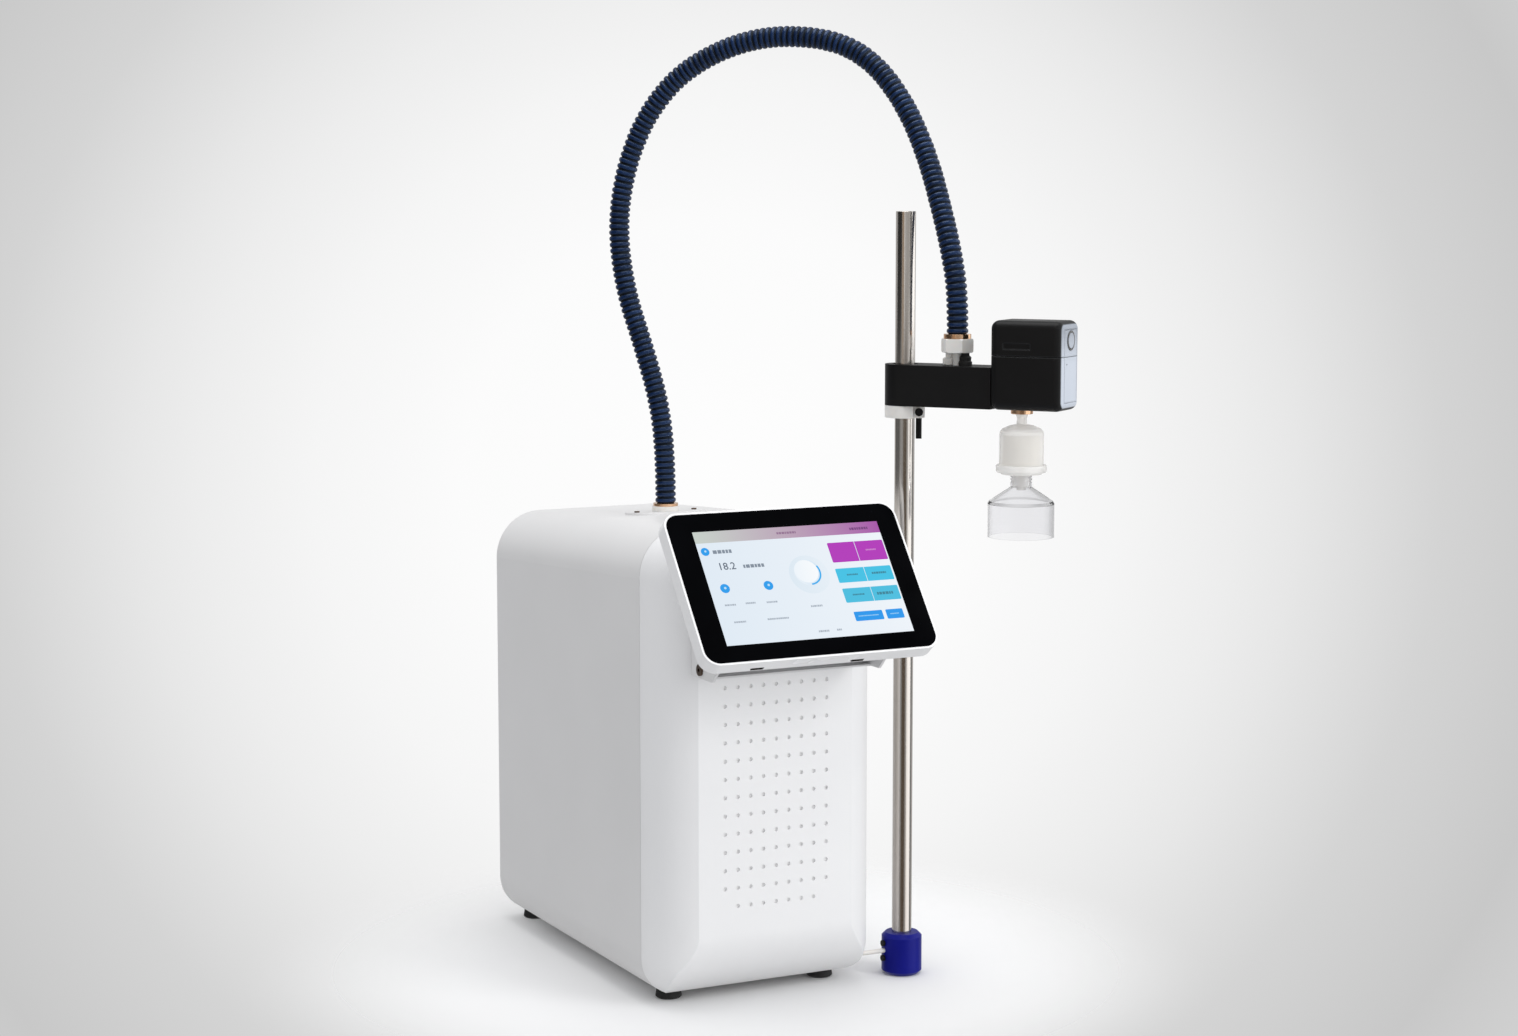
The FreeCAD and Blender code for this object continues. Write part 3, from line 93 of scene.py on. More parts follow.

# %% [markdown]
# The route of a hose is a chain of a few given points. A NURBS spline of order 3 runs
# smoothly near them and keeps the direction of the first and last run, so the hose leaves the
# cabinet upright and drops straight into its gland. One hose bends when the arm moves, and a
# piece can only bend between two neighbouring bodies, so it is made as two spans that meet at
# the top of its arch: the rise bends as the arm slides, and the fall as it swivels.

# %% Hose route
hose_route = [
    (-181, 234, 516), (-181, 234, 566), (-185, 240, 628), (-197, 256, 692), (-211, 278, 760),
    (-216, 287, 832), (-206, 284, 900), (-184, 270, 962), (-148, 241, 1012), (-92, 185, 1044),
    (-34, 124, 1042), (2, 85, 1018), (24, 47, 969), (35, 14, 909), (35, -19, 848), (35, -38, 807),
    (36.44, -50.16, 762), (36.44, -50.16, 718),
]
before_top = 10
top_of_arch = Vector(hose_route[before_top - 1]).lerp(Vector(hose_route[before_top]), 0.5)
rise_route = hose_route[:before_top] + [top_of_arch]
fall_route = [top_of_arch] + hose_route[before_top:]
print("top of the arch, mm:", tuple(round(v, 1) for v in top_of_arch))


# %% A smooth line through a route
def smooth_line(name, route):
    """Points along the NURBS spline of a route, in metres."""
    curve = bpy.data.curves.new(name, "CURVE")
    curve.dimensions = "3D"
    curve.resolution_u = 24
    spline = curve.splines.new("NURBS")
    spline.points.add(len(route) - 1)
    for point, place in zip(spline.points, route):
        point.co = (*(Vector(place) * MM), 1.0)
    spline.order_u = 3
    spline.use_endpoint_u = True
    holder = bpy.data.objects.new(name, curve)
    scene.collection.objects.link(holder)
    bpy.context.view_layer.update()
    evaluated = holder.evaluated_get(bpy.context.evaluated_depsgraph_get())
    mesh = bpy.data.meshes.new_from_object(evaluated)
    line = [vertex.co.copy() for vertex in mesh.vertices]
    bpy.data.meshes.remove(mesh)
    bpy.data.objects.remove(holder)
    bpy.data.curves.remove(curve)
    return line


def length_of(line):
    """The length of a line of points, in metres."""
    return sum((b - a).length for a, b in zip(line, line[1:]))


rise_line = smooth_line("rise_route", rise_route)
fall_line = smooth_line("fall_route", fall_route)
print("hose spans, m:", round(length_of(rise_line), 4), round(length_of(fall_line), 4))


# %% Walk along a line
def walk(line, distances):
    """Point, direction and two square directions at each distance along a line."""
    ends = [0.0]
    for a, b in zip(line, line[1:]):
        ends.append(ends[-1] + (b - a).length)
    ways = [(b - a).normalized() for a, b in zip(line, line[1:])]
    side = ways[0].orthogonal().normalized()
    places = []
    run = 0
    for distance in distances:
        while run < len(ways) - 1 and distance > ends[run + 1]:
            side = (side - ways[run + 1] * side.dot(ways[run + 1])).normalized()
            run += 1
        share = (distance - ends[run]) / (ends[run + 1] - ends[run])
        ahead = ways[run]
        if share > 0.5 and run < len(ways) - 1:
            ahead = ways[run].lerp(ways[run + 1], share - 0.5).normalized()
        elif share < 0.5 and run > 0:
            ahead = ways[run - 1].lerp(ways[run], share + 0.5).normalized()
        across = (side - ahead * side.dot(ahead)).normalized()
        places.append((line[run].lerp(line[run + 1], share), ahead, across, ahead.cross(across)))
    return places


# %% [markdown]
# The hose is corrugated: close round ribs with narrow valleys. Its skin is a loft of rings,
# eight to a rib, whose radius follows the rib's profile. Each rib gets a hair of random height
# and lean from a fixed seed, because a moulded hose that is bent by hand is never perfect.

# %% Ribbed hose skin
hose_outer = 12.0 * MM
hose_root = 9.7 * MM
rib_pitch = 6.8 * MM
ring_sides = 28
rib_shape = [(0.0, 0.0), (0.10, 0.06), (0.20, 0.55), (0.32, 0.90), (0.52, 1.0), (0.72, 0.90),
             (0.84, 0.55), (0.94, 0.06)]
rib_lean = 0.05
lowest_rib = 0.90
end_gap = 1e-6


def skin_over(name, rings, rises):
    """A closed tube through rings of points, which also stores how high on its rib each point is."""
    mesh = bpy.data.meshes.new(name)
    work = bmesh.new()
    crest = work.verts.layers.float.new("crest")
    made = [[work.verts.new(point) for point in ring] for ring in rings]
    for ring, rise in zip(made, rises):
        for vertex in ring:
            vertex[crest] = rise
    sides = len(made[0])
    for low, high in zip(made, made[1:]):
        for k in range(sides):
            after = (k + 1) % sides
            work.faces.new((low[k], low[after], high[after], high[k]))
    work.faces.new(list(reversed(made[0])))
    work.faces.new(made[-1])
    bmesh.ops.recalc_face_normals(work, faces=work.faces)
    for face in work.faces:
        face.smooth = len(face.verts) == 4
    work.to_mesh(mesh)
    work.free()
    piece = bpy.data.objects.new(name, mesh)
    scene.collection.objects.link(piece)
    return piece


def ribbed_hose(name, line, seed):
    """A hose along a line, with a whole number of ribs that each have a height and a lean."""
    hand = random.Random(seed)
    whole = length_of(line)
    count = round(whole / rib_pitch)
    pitch = whole / count
    stops = []
    for rib in range(count):
        lean = hand.uniform(-rib_lean, rib_lean)
        height = hand.uniform(lowest_rib, 1.0)
        turn = hand.uniform(0, math.tau)
        for share, rise in rib_shape:
            radius = hose_root + (hose_outer - hose_root) * rise * height
            stops.append((rib * pitch + share * pitch, radius, lean * rise, turn, rise))
    stops.append((whole - end_gap, hose_root, 0.0, 0.0, 0.0))
    places = walk(line, [stop[0] for stop in stops])
    rings = []
    for (point, ahead, across, third), (_, radius, lean, turn, _) in zip(places, stops):
        ring = []
        for k in range(ring_sides):
            angle = math.tau * k / ring_sides
            out = across * math.cos(angle) + third * math.sin(angle)
            ring.append(point + out * radius + ahead * (radius * lean * math.cos(angle - turn)))
        rings.append(ring)
    piece = skin_over(name, rings, [stop[4] for stop in stops])
    print(name, "ribs:", count, "faces:", len(piece.data.polygons))
    return piece


hose_rise = ribbed_hose("ribbed_hose_rise", rise_line, 3)
hose_fall = ribbed_hose("ribbed_hose_fall", fall_line, 5)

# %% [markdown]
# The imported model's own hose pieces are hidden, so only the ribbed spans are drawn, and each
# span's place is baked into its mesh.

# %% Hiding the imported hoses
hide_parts("hose_rise")
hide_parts("hose_fall")
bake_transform(hose_rise)
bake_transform(hose_fall)


# %% [markdown]
# Every finish below is a node material. A material is easier to read if its common effects are
# made once, so the effects that several finishes share are node groups with named inputs: a
# fine grain for moulded and painted skins, soft corners for hard pieces, and the long lines
# that a belt leaves on ground metal. A few small helpers add the nodes and link them.

# %% Adding and feeding nodes
def feed(tree, socket, value):
    """Give a socket a value, or a link where the value is another node's output."""
    if isinstance(value, bpy.types.NodeSocket):
        tree.links.new(value, socket)
    else:
        socket.default_value = value


def dress(tree, node, **values):
    """Feed a node's inputs by their names."""
    for name, value in values.items():
        feed(tree, node.inputs[name.replace("_", " ")], value)


def put(tree, kind, settings=None, **values):
    """Add a node, set its properties and feed its inputs."""
    node = tree.nodes.new("ShaderNode" + kind)
    for name, value in (settings or {}).items():
        setattr(node, name, value)
    dress(tree, node, **values)
    return node


def maths(tree, operation, a, b=0.0):
    """One step of arithmetic on numbers or on other nodes' outputs."""
    node = put(tree, "Math", {"operation": operation})
    feed(tree, node.inputs[0], a)
    feed(tree, node.inputs[1], b)
    return node.outputs[0]


def vector_maths(tree, operation, a, b, output="Vector"):
    """The same for vectors; some steps put out a number, named Value."""
    node = put(tree, "VectorMath", {"operation": operation})
    feed(tree, node.inputs[0], a)
    feed(tree, node.inputs[1], b)
    return node.outputs[output]


# %% Masks, numbers and colours
def how_far(tree, value, start, end):
    """How far a value has come from start to end, as 0 to 1."""
    return put(tree, "MapRange", Value=value, From_Min=start, From_Max=end).outputs["Result"]


def between(tree, mask, low, high):
    """A number that goes from low to high as a mask goes from 0 to 1."""
    return put(tree, "MapRange", Value=mask, To_Min=low, To_Max=high).outputs["Result"]


def colours(tree, mask, first, second):
    """A colour that goes from the first to the second as a mask goes from 0 to 1."""
    node = put(tree, "Mix", {"data_type": "RGBA"})
    feed(tree, node.inputs[0], mask)
    for socket, colour in ((node.inputs[6], first), (node.inputs[7], second)):
        feed(tree, socket, colour if isinstance(colour, bpy.types.NodeSocket) else (*colour, 1.0))
    return node.outputs[2]


def reach_along(tree, vector, way):
    """How far a vector reaches along a fixed direction."""
    return vector_maths(tree, "DOT_PRODUCT", vector, way, "Value")


def mixed(tree, share, first, second):
    """The first shader where the share is 0, and the second where it is 1."""
    node = put(tree, "MixShader")
    for socket, value in zip(node.inputs, (share, first, second)):
        feed(tree, socket, value)
    return node.outputs["Shader"]


# %% Opening a node group
def open_group(name, numbers, outputs):
    """A new shader group, with number inputs as name and value, and outputs as name and kind."""
    group = bpy.data.node_groups.new(name, "ShaderNodeTree")
    for label, value in numbers.items():
        socket = group.interface.new_socket(label, in_out="INPUT", socket_type="NodeSocketFloat")
        socket.default_value = value
    for label, kind in outputs.items():
        group.interface.new_socket(label, in_out="OUTPUT", socket_type="NodeSocket" + kind)
    return group, group.nodes.new("NodeGroupInput"), group.nodes.new("NodeGroupOutput")


# %% Fine grain group
def make_fine_grain():
    """Two sizes of noise in the piece's own space: even grain, and slow patches."""
    tree, start, end = open_group("fine_grain", {"Grain Size": 900.0, "Patch Size": 14.0},
                                  {"Grain": "Float", "Patches": "Float"})
    place = put(tree, "TexCoord").outputs["Object"]
    grain = put(tree, "TexNoise", Vector=place, Scale=start.outputs["Grain Size"], Detail=3.0, Roughness=0.6)
    patch = put(tree, "TexNoise", Vector=place, Scale=start.outputs["Patch Size"], Detail=4.0, Roughness=0.55)
    feed(tree, end.inputs["Grain"], grain.outputs["Fac"])
    feed(tree, end.inputs["Patches"], how_far(tree, patch.outputs["Fac"], 0.3, 0.7))
    return tree


fine_grain = make_fine_grain()
print("group:", fine_grain.name)


# %% Soft corner group
def make_soft_corner():
    """Rounds sharp corners in the shading, and tells how near a corner a point is."""
    tree, start, end = open_group("soft_corner", {"Radius": 0.0006}, {"Normal": "Vector", "Corner": "Float"})
    bevelled = put(tree, "Bevel", {"samples": 4}, Radius=start.outputs["Radius"]).outputs["Normal"]
    flat = put(tree, "NewGeometry").outputs["Normal"]
    likeness = vector_maths(tree, "DOT_PRODUCT", bevelled, flat, "Value")
    feed(tree, end.inputs["Normal"], bevelled)
    feed(tree, end.inputs["Corner"], how_far(tree, likeness, 0.995, 0.80))
    return tree


soft_corner = make_soft_corner()
print("group:", soft_corner.name)


# %% Brushed lines group
def make_brushed_lines():
    """Long fine lines up a piece, as left by the belt that polished it, and slow bands of tone."""
    tree, start, end = open_group("brushed_lines", {"Fineness": 700.0, "Stretch": 0.012},
                                  {"Lines": "Float", "Bands": "Float"})
    shape = put(tree, "CombineXYZ", X=1.0, Y=1.0, Z=start.outputs["Stretch"]).outputs["Vector"]
    stretched = vector_maths(tree, "MULTIPLY", put(tree, "TexCoord").outputs["Object"], shape)
    lines = put(tree, "TexNoise", Vector=stretched, Scale=start.outputs["Fineness"], Detail=4.0)
    bands = put(tree, "TexNoise", Vector=stretched, Scale=110.0, Detail=2.0)
    feed(tree, end.inputs["Lines"], lines.outputs["Fac"])
    feed(tree, end.inputs["Bands"], how_far(tree, bands.outputs["Fac"], 0.35, 0.65))
    return tree


brushed_lines = make_brushed_lines()
print("group:", brushed_lines.name)


# %% Starting a finish
def start_finish(name):
    """A new material with an empty tree, its shader and its output."""
    material = bpy.data.materials.new(name)
    material.use_nodes = True
    tree = material.node_tree
    tree.nodes.clear()
    shader = put(tree, "BsdfPrincipled")
    feed(tree, put(tree, "OutputMaterial").inputs["Surface"], shader.outputs["BSDF"])
    return material, tree, shader


def tree_and_shader(material):
    """The tree of a finish that is already made, and its shader."""
    tree = material.node_tree
    return tree, next(node for node in tree.nodes if node.type == "BSDF_PRINCIPLED")


def use(tree, group, **values):
    """Place a shared group in a finish with its own values, and give what it puts out."""
    node = tree.nodes.new("ShaderNodeGroup")
    node.node_tree = group
    dress(tree, node, **values)
    return node.outputs


# %% Moulded skins
patch_size = 9.0


def moulded(name, light, dark, rough_low, rough_high, grain=900.0, depth=0.00002, corner=0.0004,
            corner_wear_and_highlight=None, **more):
    """A moulded or painted skin: slow patches of tone, fine grain, soft corners, and corners that may be
    painted lighter, partly worn and partly a painted highlight.
    """
    material, tree, shader = start_finish(name)
    skin = use(tree, fine_grain, Grain_Size=grain, Patch_Size=patch_size)
    edge = use(tree, soft_corner, Radius=corner)
    tone = colours(tree, skin["Patches"], dark, light)
    # Lighter corners: partly worn, partly a painted highlight where a rounded edge catches the light.
    if corner_wear_and_highlight:
        tone = colours(tree, maths(tree, "MULTIPLY", edge["Corner"], skin["Grain"]), tone, corner_wear_and_highlight)
    bump = put(tree, "Bump", Height=skin["Grain"], Distance=depth, Strength=1.0, Normal=edge["Normal"])
    dress(tree, shader, Base_Color=tone, Roughness=between(tree, skin["Patches"], rough_low, rough_high),
          Normal=bump.outputs["Normal"], **more)
    return material


# %% [markdown]
# The cabinet's covers have a smooth satin white coat. It has a faint orange peel, so the grain is
# large, shallow and even, and the tone hardly varies. The front cover is a cleaner white than
# the cover behind it, as the step of tone at their seam shows, so the front gets a skin of its
# own. The screen's tray is white moulded plastic with more gloss.

# %% White finishes
finishes = {}
finishes["white_cover"] = moulded("powder_coat_white", (0.79, 0.785, 0.785), (0.775, 0.770, 0.770),
                                  0.36, 0.44, grain=420.0, depth=0.000010, corner=0.0005)
finishes["white_rim"] = moulded("tray_white", (0.95, 0.95, 0.955), (0.93, 0.93, 0.935),
                                0.22, 0.30, grain=1200.0, depth=0.000004, corner=0.0006)
finishes["cartridge_white"] = moulded("cartridge_white", (0.80, 0.80, 0.77), (0.74, 0.74, 0.70),
                                      0.35, 0.5, grain=500.0, depth=0.00001)
front_white = moulded("front_cover_white", (0.925, 0.925, 0.930), (0.905, 0.905, 0.912),
                      0.34, 0.42, grain=420.0, depth=0.000010, corner=0.0006)
print("white finishes:", list(finishes), "and", front_white.name)

# %% [markdown]
# Natural nylon is milky: light goes a little way into it. A small subsurface share gives the
# collar and the tube nut that soft look, with a warm tint in the depth.

# %% White nylon
finishes["white_nylon"] = moulded("natural_nylon", (0.84, 0.82, 0.79), (0.78, 0.76, 0.72), 0.32, 0.45,
                                  grain=1500.0, depth=0.000006, corner=0.0006, Subsurface_Weight=0.25,
                                  Subsurface_Radius=(0.006, 0.005, 0.004), Subsurface_Scale=0.5)
print("finish:", finishes["white_nylon"].name)

# %% [markdown]
# Grey and black mouldings differ mostly in grain. The arm and the head are printed and blasted
# to an even matt black, whose corners are painted a little lighter: partly rubbed, partly a
# painted highlight on their rounding. Rubber is rougher still.

# %% Grey and black finishes
matt_black = ((0.0085, 0.0085, 0.0090), (0.0060, 0.0060, 0.0065))
finishes["grey_plastic"] = moulded("grey_plastic", (0.56, 0.57, 0.59), (0.50, 0.51, 0.53), 0.4, 0.55)
finishes["grey_sheet"] = moulded("grey_coated_sheet", (0.58, 0.59, 0.61), (0.53, 0.54, 0.56),
                                 0.38, 0.5, grain=420.0, depth=0.00001)
finishes["black_plastic"] = moulded("blasted_black", *matt_black, 0.40, 0.50, grain=2600.0,
                                    corner=0.0008, corner_wear_and_highlight=(0.03, 0.03, 0.032), Specular_IOR_Level=0.18)
finishes["black_gloss"] = moulded("gloss_black", (0.010, 0.010, 0.011), (0.008, 0.008, 0.009),
                                  0.12, 0.2, grain=1500.0, depth=0.000003)
finishes["black_rubber"] = moulded("foot_rubber", (0.020, 0.020, 0.020), (0.012, 0.012, 0.012),
                                   0.65, 0.85, grain=1200.0, depth=0.00004)
print("finishes so far:", len(finishes))

# %% [markdown]
# The pole's foot is a deep blue moulding. Its blue is nearly pure, so a low specular level
# keeps the white room from washing it out. The cartridge heads, the circuit board and the
# display's body are out of sight in use, and get the usual colours of such parts.

# %% Coloured finishes
# The lighter blue at the foot's corners is a painted highlight on its chamfers.
finishes["blue_base"] = moulded("pole_foot_blue", (0.005, 0.008, 0.245), (0.004, 0.006, 0.190),
                                0.30, 0.40, grain=1600.0, depth=0.00001, corner=0.0010,
                                corner_wear_and_highlight=(0.05, 0.06, 0.40), Specular_IOR_Level=0.14)
finishes["blue_plastic"] = moulded("cartridge_head_blue", (0.04, 0.14, 0.42), (0.03, 0.11, 0.36), 0.35, 0.45)
finishes["circuit_green"] = moulded("circuit_green", (0.02, 0.20, 0.08), (0.015, 0.15, 0.06), 0.3, 0.4)
finishes["display"] = moulded("display_body", (0.30, 0.31, 0.33), (0.25, 0.26, 0.28), 0.3, 0.4)
print("finishes so far:", len(finishes))

# %% [markdown]
# The foam behind the vents is an open mat. From outside it only shows as a pale grey bottom in
# each small hole, so a coarse noise of light and dark cells is enough. A render follows only a
# few bounces of light, and most of what reaches the bottom of so small a hole needs more, so
# the foam is given a faint light of its own in place of the light that is lost.

# %% Filter foam
finishes["filter_foam"] = moulded("filter_foam", (0.95, 0.95, 0.95), (0.88, 0.88, 0.88), 0.85, 0.95,
                                  grain=1400.0, depth=0.0004, corner=0.0002,
                                  Emission_Color=(1.0, 0.985, 0.97, 1.0), Emission_Strength=0.09)
print("finish:", finishes["filter_foam"].name)


# %% [markdown]
# The pole is a ground stainless tube. Real brushed steel shows its grind as long fine lines that
# stretch every reflection sideways, so the lines drive both the roughness and the bump, and
# slow bands vary the tone. Small turned and cast parts have no such lines: there the noise is
# left even, with a stretch of 1.

# %% Metals
grind_depth = 0.000006
metal_corner = 0.0005


def metal(name, light, dark, rough_low, rough_high, stretch=1.0):
    """A ground or turned metal: lines in the roughness and the bump, bands in the tone."""
    material, tree, shader = start_finish(name)
    brush = use(tree, brushed_lines, Fineness=700.0, Stretch=stretch)
    edge = use(tree, soft_corner, Radius=metal_corner)
    bump = put(tree, "Bump", Height=brush["Lines"], Distance=grind_depth, Strength=1.0,
               Normal=edge["Normal"])
    dress(tree, shader, Base_Color=colours(tree, brush["Bands"], dark, light), Metallic=1.0,
          Roughness=between(tree, brush["Lines"], rough_low, rough_high), Normal=bump.outputs["Normal"])
    return material


finishes["steel"] = metal("ground_steel", (0.68, 0.65, 0.62), (0.49, 0.45, 0.41), 0.12, 0.22, stretch=0.012)
finishes["aluminium_case"] = metal("aluminium_case", (0.74, 0.75, 0.76), (0.66, 0.67, 0.68), 0.3, 0.45)
finishes["dark_screw"] = metal("oiled_screw", (0.16, 0.11, 0.08), (0.09, 0.06, 0.045), 0.25, 0.4)
finishes["brass"] = metal("turned_brass", (0.80, 0.52, 0.33), (0.66, 0.40, 0.24), 0.12, 0.24)
print("finishes so far:", len(finishes))

# %% [markdown]
# The hose is glossy navy plastic. Its ribs carry bright blue-white glints, while the narrow
# valleys between them catch almost no light. The mesh stores how high on its rib each point
# lies, and that number makes the crests glossy and blue, and the valleys matt, with painted
# shade that makes them nearly black.

# %% Hose finish
def make_hose_finish():
    """Glossy navy on the crests of the ribs, matt in the valleys, with painted shade that makes them nearly
    black.
    """
    material, tree, shader = start_finish("hose_navy")
    skin = use(tree, fine_grain, Grain_Size=700.0, Patch_Size=40.0)
    crest = how_far(tree, put(tree, "Attribute", {"attribute_name": "crest"}).outputs["Fac"], 0.35, 0.95)
    navy = colours(tree, skin["Patches"], (0.004, 0.012, 0.045), (0.008, 0.026, 0.090))
    gloss = between(tree, skin["Patches"], 0.14, 0.24)
    bump = put(tree, "Bump", Height=skin["Grain"], Distance=0.00006, Strength=1.0)
    # The near-black colour in the valleys is painted shade.
    dress(tree, shader, Base_Color=colours(tree, crest, (0.0015, 0.002, 0.005), navy),
          Roughness=between(tree, crest, 0.65, gloss), Normal=bump.outputs["Normal"],
          Specular_IOR_Level=0.42, Specular_Tint=(0.60, 0.78, 1.0, 1.0))
    return material


finishes["hose_navy"] = make_hose_finish()
print("finish:", finishes["hose_navy"].name)

# %% [markdown]
# The filter capsule is a milky shell round a pleated cream core. A half-clear shell is mixed
# from white and rough glass, which blurs what is inside as thin polypropylene does. Light also
# comes through it from behind, and a faint glow stands for that.

# %% Capsule shell
finishes["capsule_clear"] = moulded("capsule_shell", (0.97, 0.965, 0.955), (0.95, 0.945, 0.93), 0.16, 0.24,
                                    grain=1500.0, depth=0.000004, Transmission_Weight=0.62, IOR=1.15,
                                    Emission_Color=(1.0, 0.97, 0.93, 1.0), Emission_Strength=0.06)
print("finish:", finishes["capsule_clear"].name)

# %% Pleated core
pleats = 48.0
pleat_depth = 0.0006


def make_pleated_core():
    """Cream membrane folded in upright pleats round the capsule's axis, with painted shade in the folds."""
    material, tree, shader = start_finish("pleated_core")
    low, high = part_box("capsule_core")
    from_axis = vector_maths(tree, "SUBTRACT", put(tree, "TexCoord").outputs["Object"], (low + high) / 2)
    split = put(tree, "SeparateXYZ", Vector=from_axis).outputs
    angle = maths(tree, "ARCTAN2", split["Y"], split["X"])
    wave = maths(tree, "SINE", maths(tree, "MULTIPLY", angle, pleats))
    pleat = how_far(tree, wave, -1.0, 1.0)
    # The darker cream in the folds of the pleats is painted shade.
    dress(tree, shader, Base_Color=colours(tree, pleat, (0.72, 0.65, 0.55), (0.90, 0.85, 0.76)),
          Normal=put(tree, "Bump", Height=pleat, Distance=pleat_depth).outputs["Normal"], Roughness=0.8)
    return material


finishes["capsule_core"] = make_pleated_core()
print("finish:", finishes["capsule_core"].name)

# %% [markdown]
# The bell is clear moulded plastic. Its colour comes only from its shape: the walls bend the
# light more where they are seen on edge, which draws the pale grey outline.

# %% Clear bell
def make_clear_bell():
    """Clear plastic, smooth but for a very faint haze."""
    material, tree, shader = start_finish("clear_bell")
    skin = use(tree, fine_grain, Grain_Size=60.0, Patch_Size=30.0)
    dress(tree, shader, Roughness=between(tree, skin["Patches"], 0.0, 0.03),
          Base_Color=(0.93, 0.93, 0.942, 1.0), Transmission_Weight=1.0, IOR=1.22)
    return material


finishes["clear_bell"] = make_clear_bell()
print("finish:", finishes["clear_bell"].name)

# %% [markdown]
# The glass of the screen is one black sheet, printed on its back round the display. It is very
# smooth, with the faint smears that fingers leave.

# %% Screen glass
def make_black_glass():
    """Black glass whose gloss varies with slow smears."""
    material, tree, shader = start_finish("black_glass")
    smears = use(tree, fine_grain, Grain_Size=60.0, Patch_Size=22.0)
    dress(tree, shader, Roughness=between(tree, smears["Patches"], 0.05, 0.16), Specular_IOR_Level=0.03,
          Base_Color=colours(tree, smears["Patches"], (0.0006, 0.0007, 0.0011), (0.0012, 0.0013, 0.0020)))
    return material


finishes["black_glass"] = make_black_glass()
print("finish:", finishes["black_glass"].name)

# %% [markdown]
# The head's front is a silver face with a black border whose corners are round. One mask draws
# it: a rounded box in the head's own plane, measured across the arm and up. The mask is 1 inside
# the box, fades over about a millimetre, and is 0 where the skin turns away from the front.
# Above, the face is painted darker, and it brightens toward its lower edge: a painted reflection.

# %% Silver face group
arm_angle = math.radians(-54.0)
arm_ahead = Vector((math.cos(arm_angle), math.sin(arm_angle), 0.0))
arm_across = Vector((-math.sin(arm_angle), math.cos(arm_angle), 0.0))


def make_silver_face():
    """Where the head's front is silver, and how high on the front a point is."""
    tree, start, end = open_group("silver_face", {"Half Width": 0.0235, "Low": 0.6425, "High": 0.7320,
                                                  "Corner": 0.007}, {"Face": "Float", "Height": "Float"})
    given = start.outputs
    coordinates = put(tree, "TexCoord").outputs
    across = maths(tree, "ABSOLUTE", reach_along(tree, coordinates["Object"], arm_across))
    up = put(tree, "SeparateXYZ", Vector=coordinates["Object"]).outputs["Z"]
    middle = maths(tree, "MULTIPLY", maths(tree, "ADD", given["Low"], given["High"]), 0.5)
    from_middle = maths(tree, "ABSOLUTE", maths(tree, "SUBTRACT", up, middle))
    half_height = maths(tree, "SUBTRACT", given["High"], middle)
    squares = []
    for distance, half in ((across, given["Half Width"]), (from_middle, half_height)):
        straight = maths(tree, "SUBTRACT", half, given["Corner"])
        past = maths(tree, "MAXIMUM", maths(tree, "SUBTRACT", distance, straight), 0.0)
        squares.append(maths(tree, "MULTIPLY", past, past))
    outside = maths(tree, "SUBTRACT", maths(tree, "SQRT", maths(tree, "ADD", *squares)), given["Corner"])
    shown = how_far(tree, outside, 0.0006, -0.0008)
    facing = how_far(tree, reach_along(tree, coordinates["Normal"], arm_ahead), 0.70, 0.85)
    feed(tree, end.inputs["Face"], maths(tree, "MULTIPLY", shown, facing))
    feed(tree, end.inputs["Height"], how_far(tree, up, 0.690, 0.730))
    return tree


silver_face = make_silver_face()
print("group:", silver_face.name)


# %% Head shells and front plates
def make_head_finish(name, rough_low, rough_high):
    """The arm's matt black, with the silver face painted over it."""
    # The lighter corners of the head's black are a painted highlight on its rounded edges.
    material = moulded(name, *matt_black, rough_low, rough_high, grain=2600.0, corner=0.0026,
                       corner_wear_and_highlight=(0.050, 0.052, 0.058), Specular_IOR_Level=0.18)
    tree, shader = tree_and_shader(material)
    face = use(tree, silver_face)
    black = shader.inputs["Base Color"].links[0].from_socket
    # Painted reflection: the silver is lighter toward the face's lower edge and darker above.
    silver = colours(tree, face["Height"], (0.62, 0.67, 0.75), (0.33, 0.36, 0.41))
    dress(tree, shader, Base_Color=colours(tree, face["Face"], black, silver))
    return material


head_skin = make_head_finish("head_skin", 0.34, 0.44)
finishes["silver_plate"] = make_head_finish("silver_front", 0.30, 0.40)
print("finishes in all:", len(finishes))

# %% [markdown]
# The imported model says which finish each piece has. Three pieces get a skin of their own: the
# front cover, and the head's two shells, whose front carries part of the silver face.

# %% Hand the finishes to the frame's pieces
for part in frame["record"]["subparts"]:
    node = frame["nodes"][part["node"]]
    node.data.materials.clear()
    node.data.materials.append(finishes[part["material_slot"]])
for name, own_finish in (("head_lower", head_skin), ("head_upper", head_skin), ("front_cover", front_white)):
    frame["nodes"][name].data.materials[0] = own_finish
for span in (hose_rise, hose_fall):
    span.data.materials.append(finishes["hose_navy"])

# %% [markdown]
# The picture on the screen is drawn as very thin plates on the glass: a pale ground, a top bar,
# status dots, a round gauge, tiles and buttons. Words are only short dashes, as in a layout
# sketch, and the one reading is a plain number. All plates share one lit material that takes
# its colour from the plate, so a tile can also fade from side to side.

# %% Screen plane
screen_tilt = math.radians(37.6)
glass_centre = Vector((-182.5, -106.4, 468.8))
glass_up = Vector((0, math.sin(screen_tilt), math.cos(screen_tilt)))
glass_out = Vector((0, -math.cos(screen_tilt), math.sin(screen_tilt)))
picture_left, picture_right = -108.0, 110.5
picture_low, picture_high = -69.0, 66.0
layer = 0.05
lift = 0.01
print("picture, mm:", picture_right - picture_left, "by", picture_high - picture_low)


def on_glass(right, up, out):
    """A point of the screen's plane, given in mm from the centre of the glass."""
    return (glass_centre + Vector((right, 0, 0)) + glass_up * up + glass_out * out) * MM


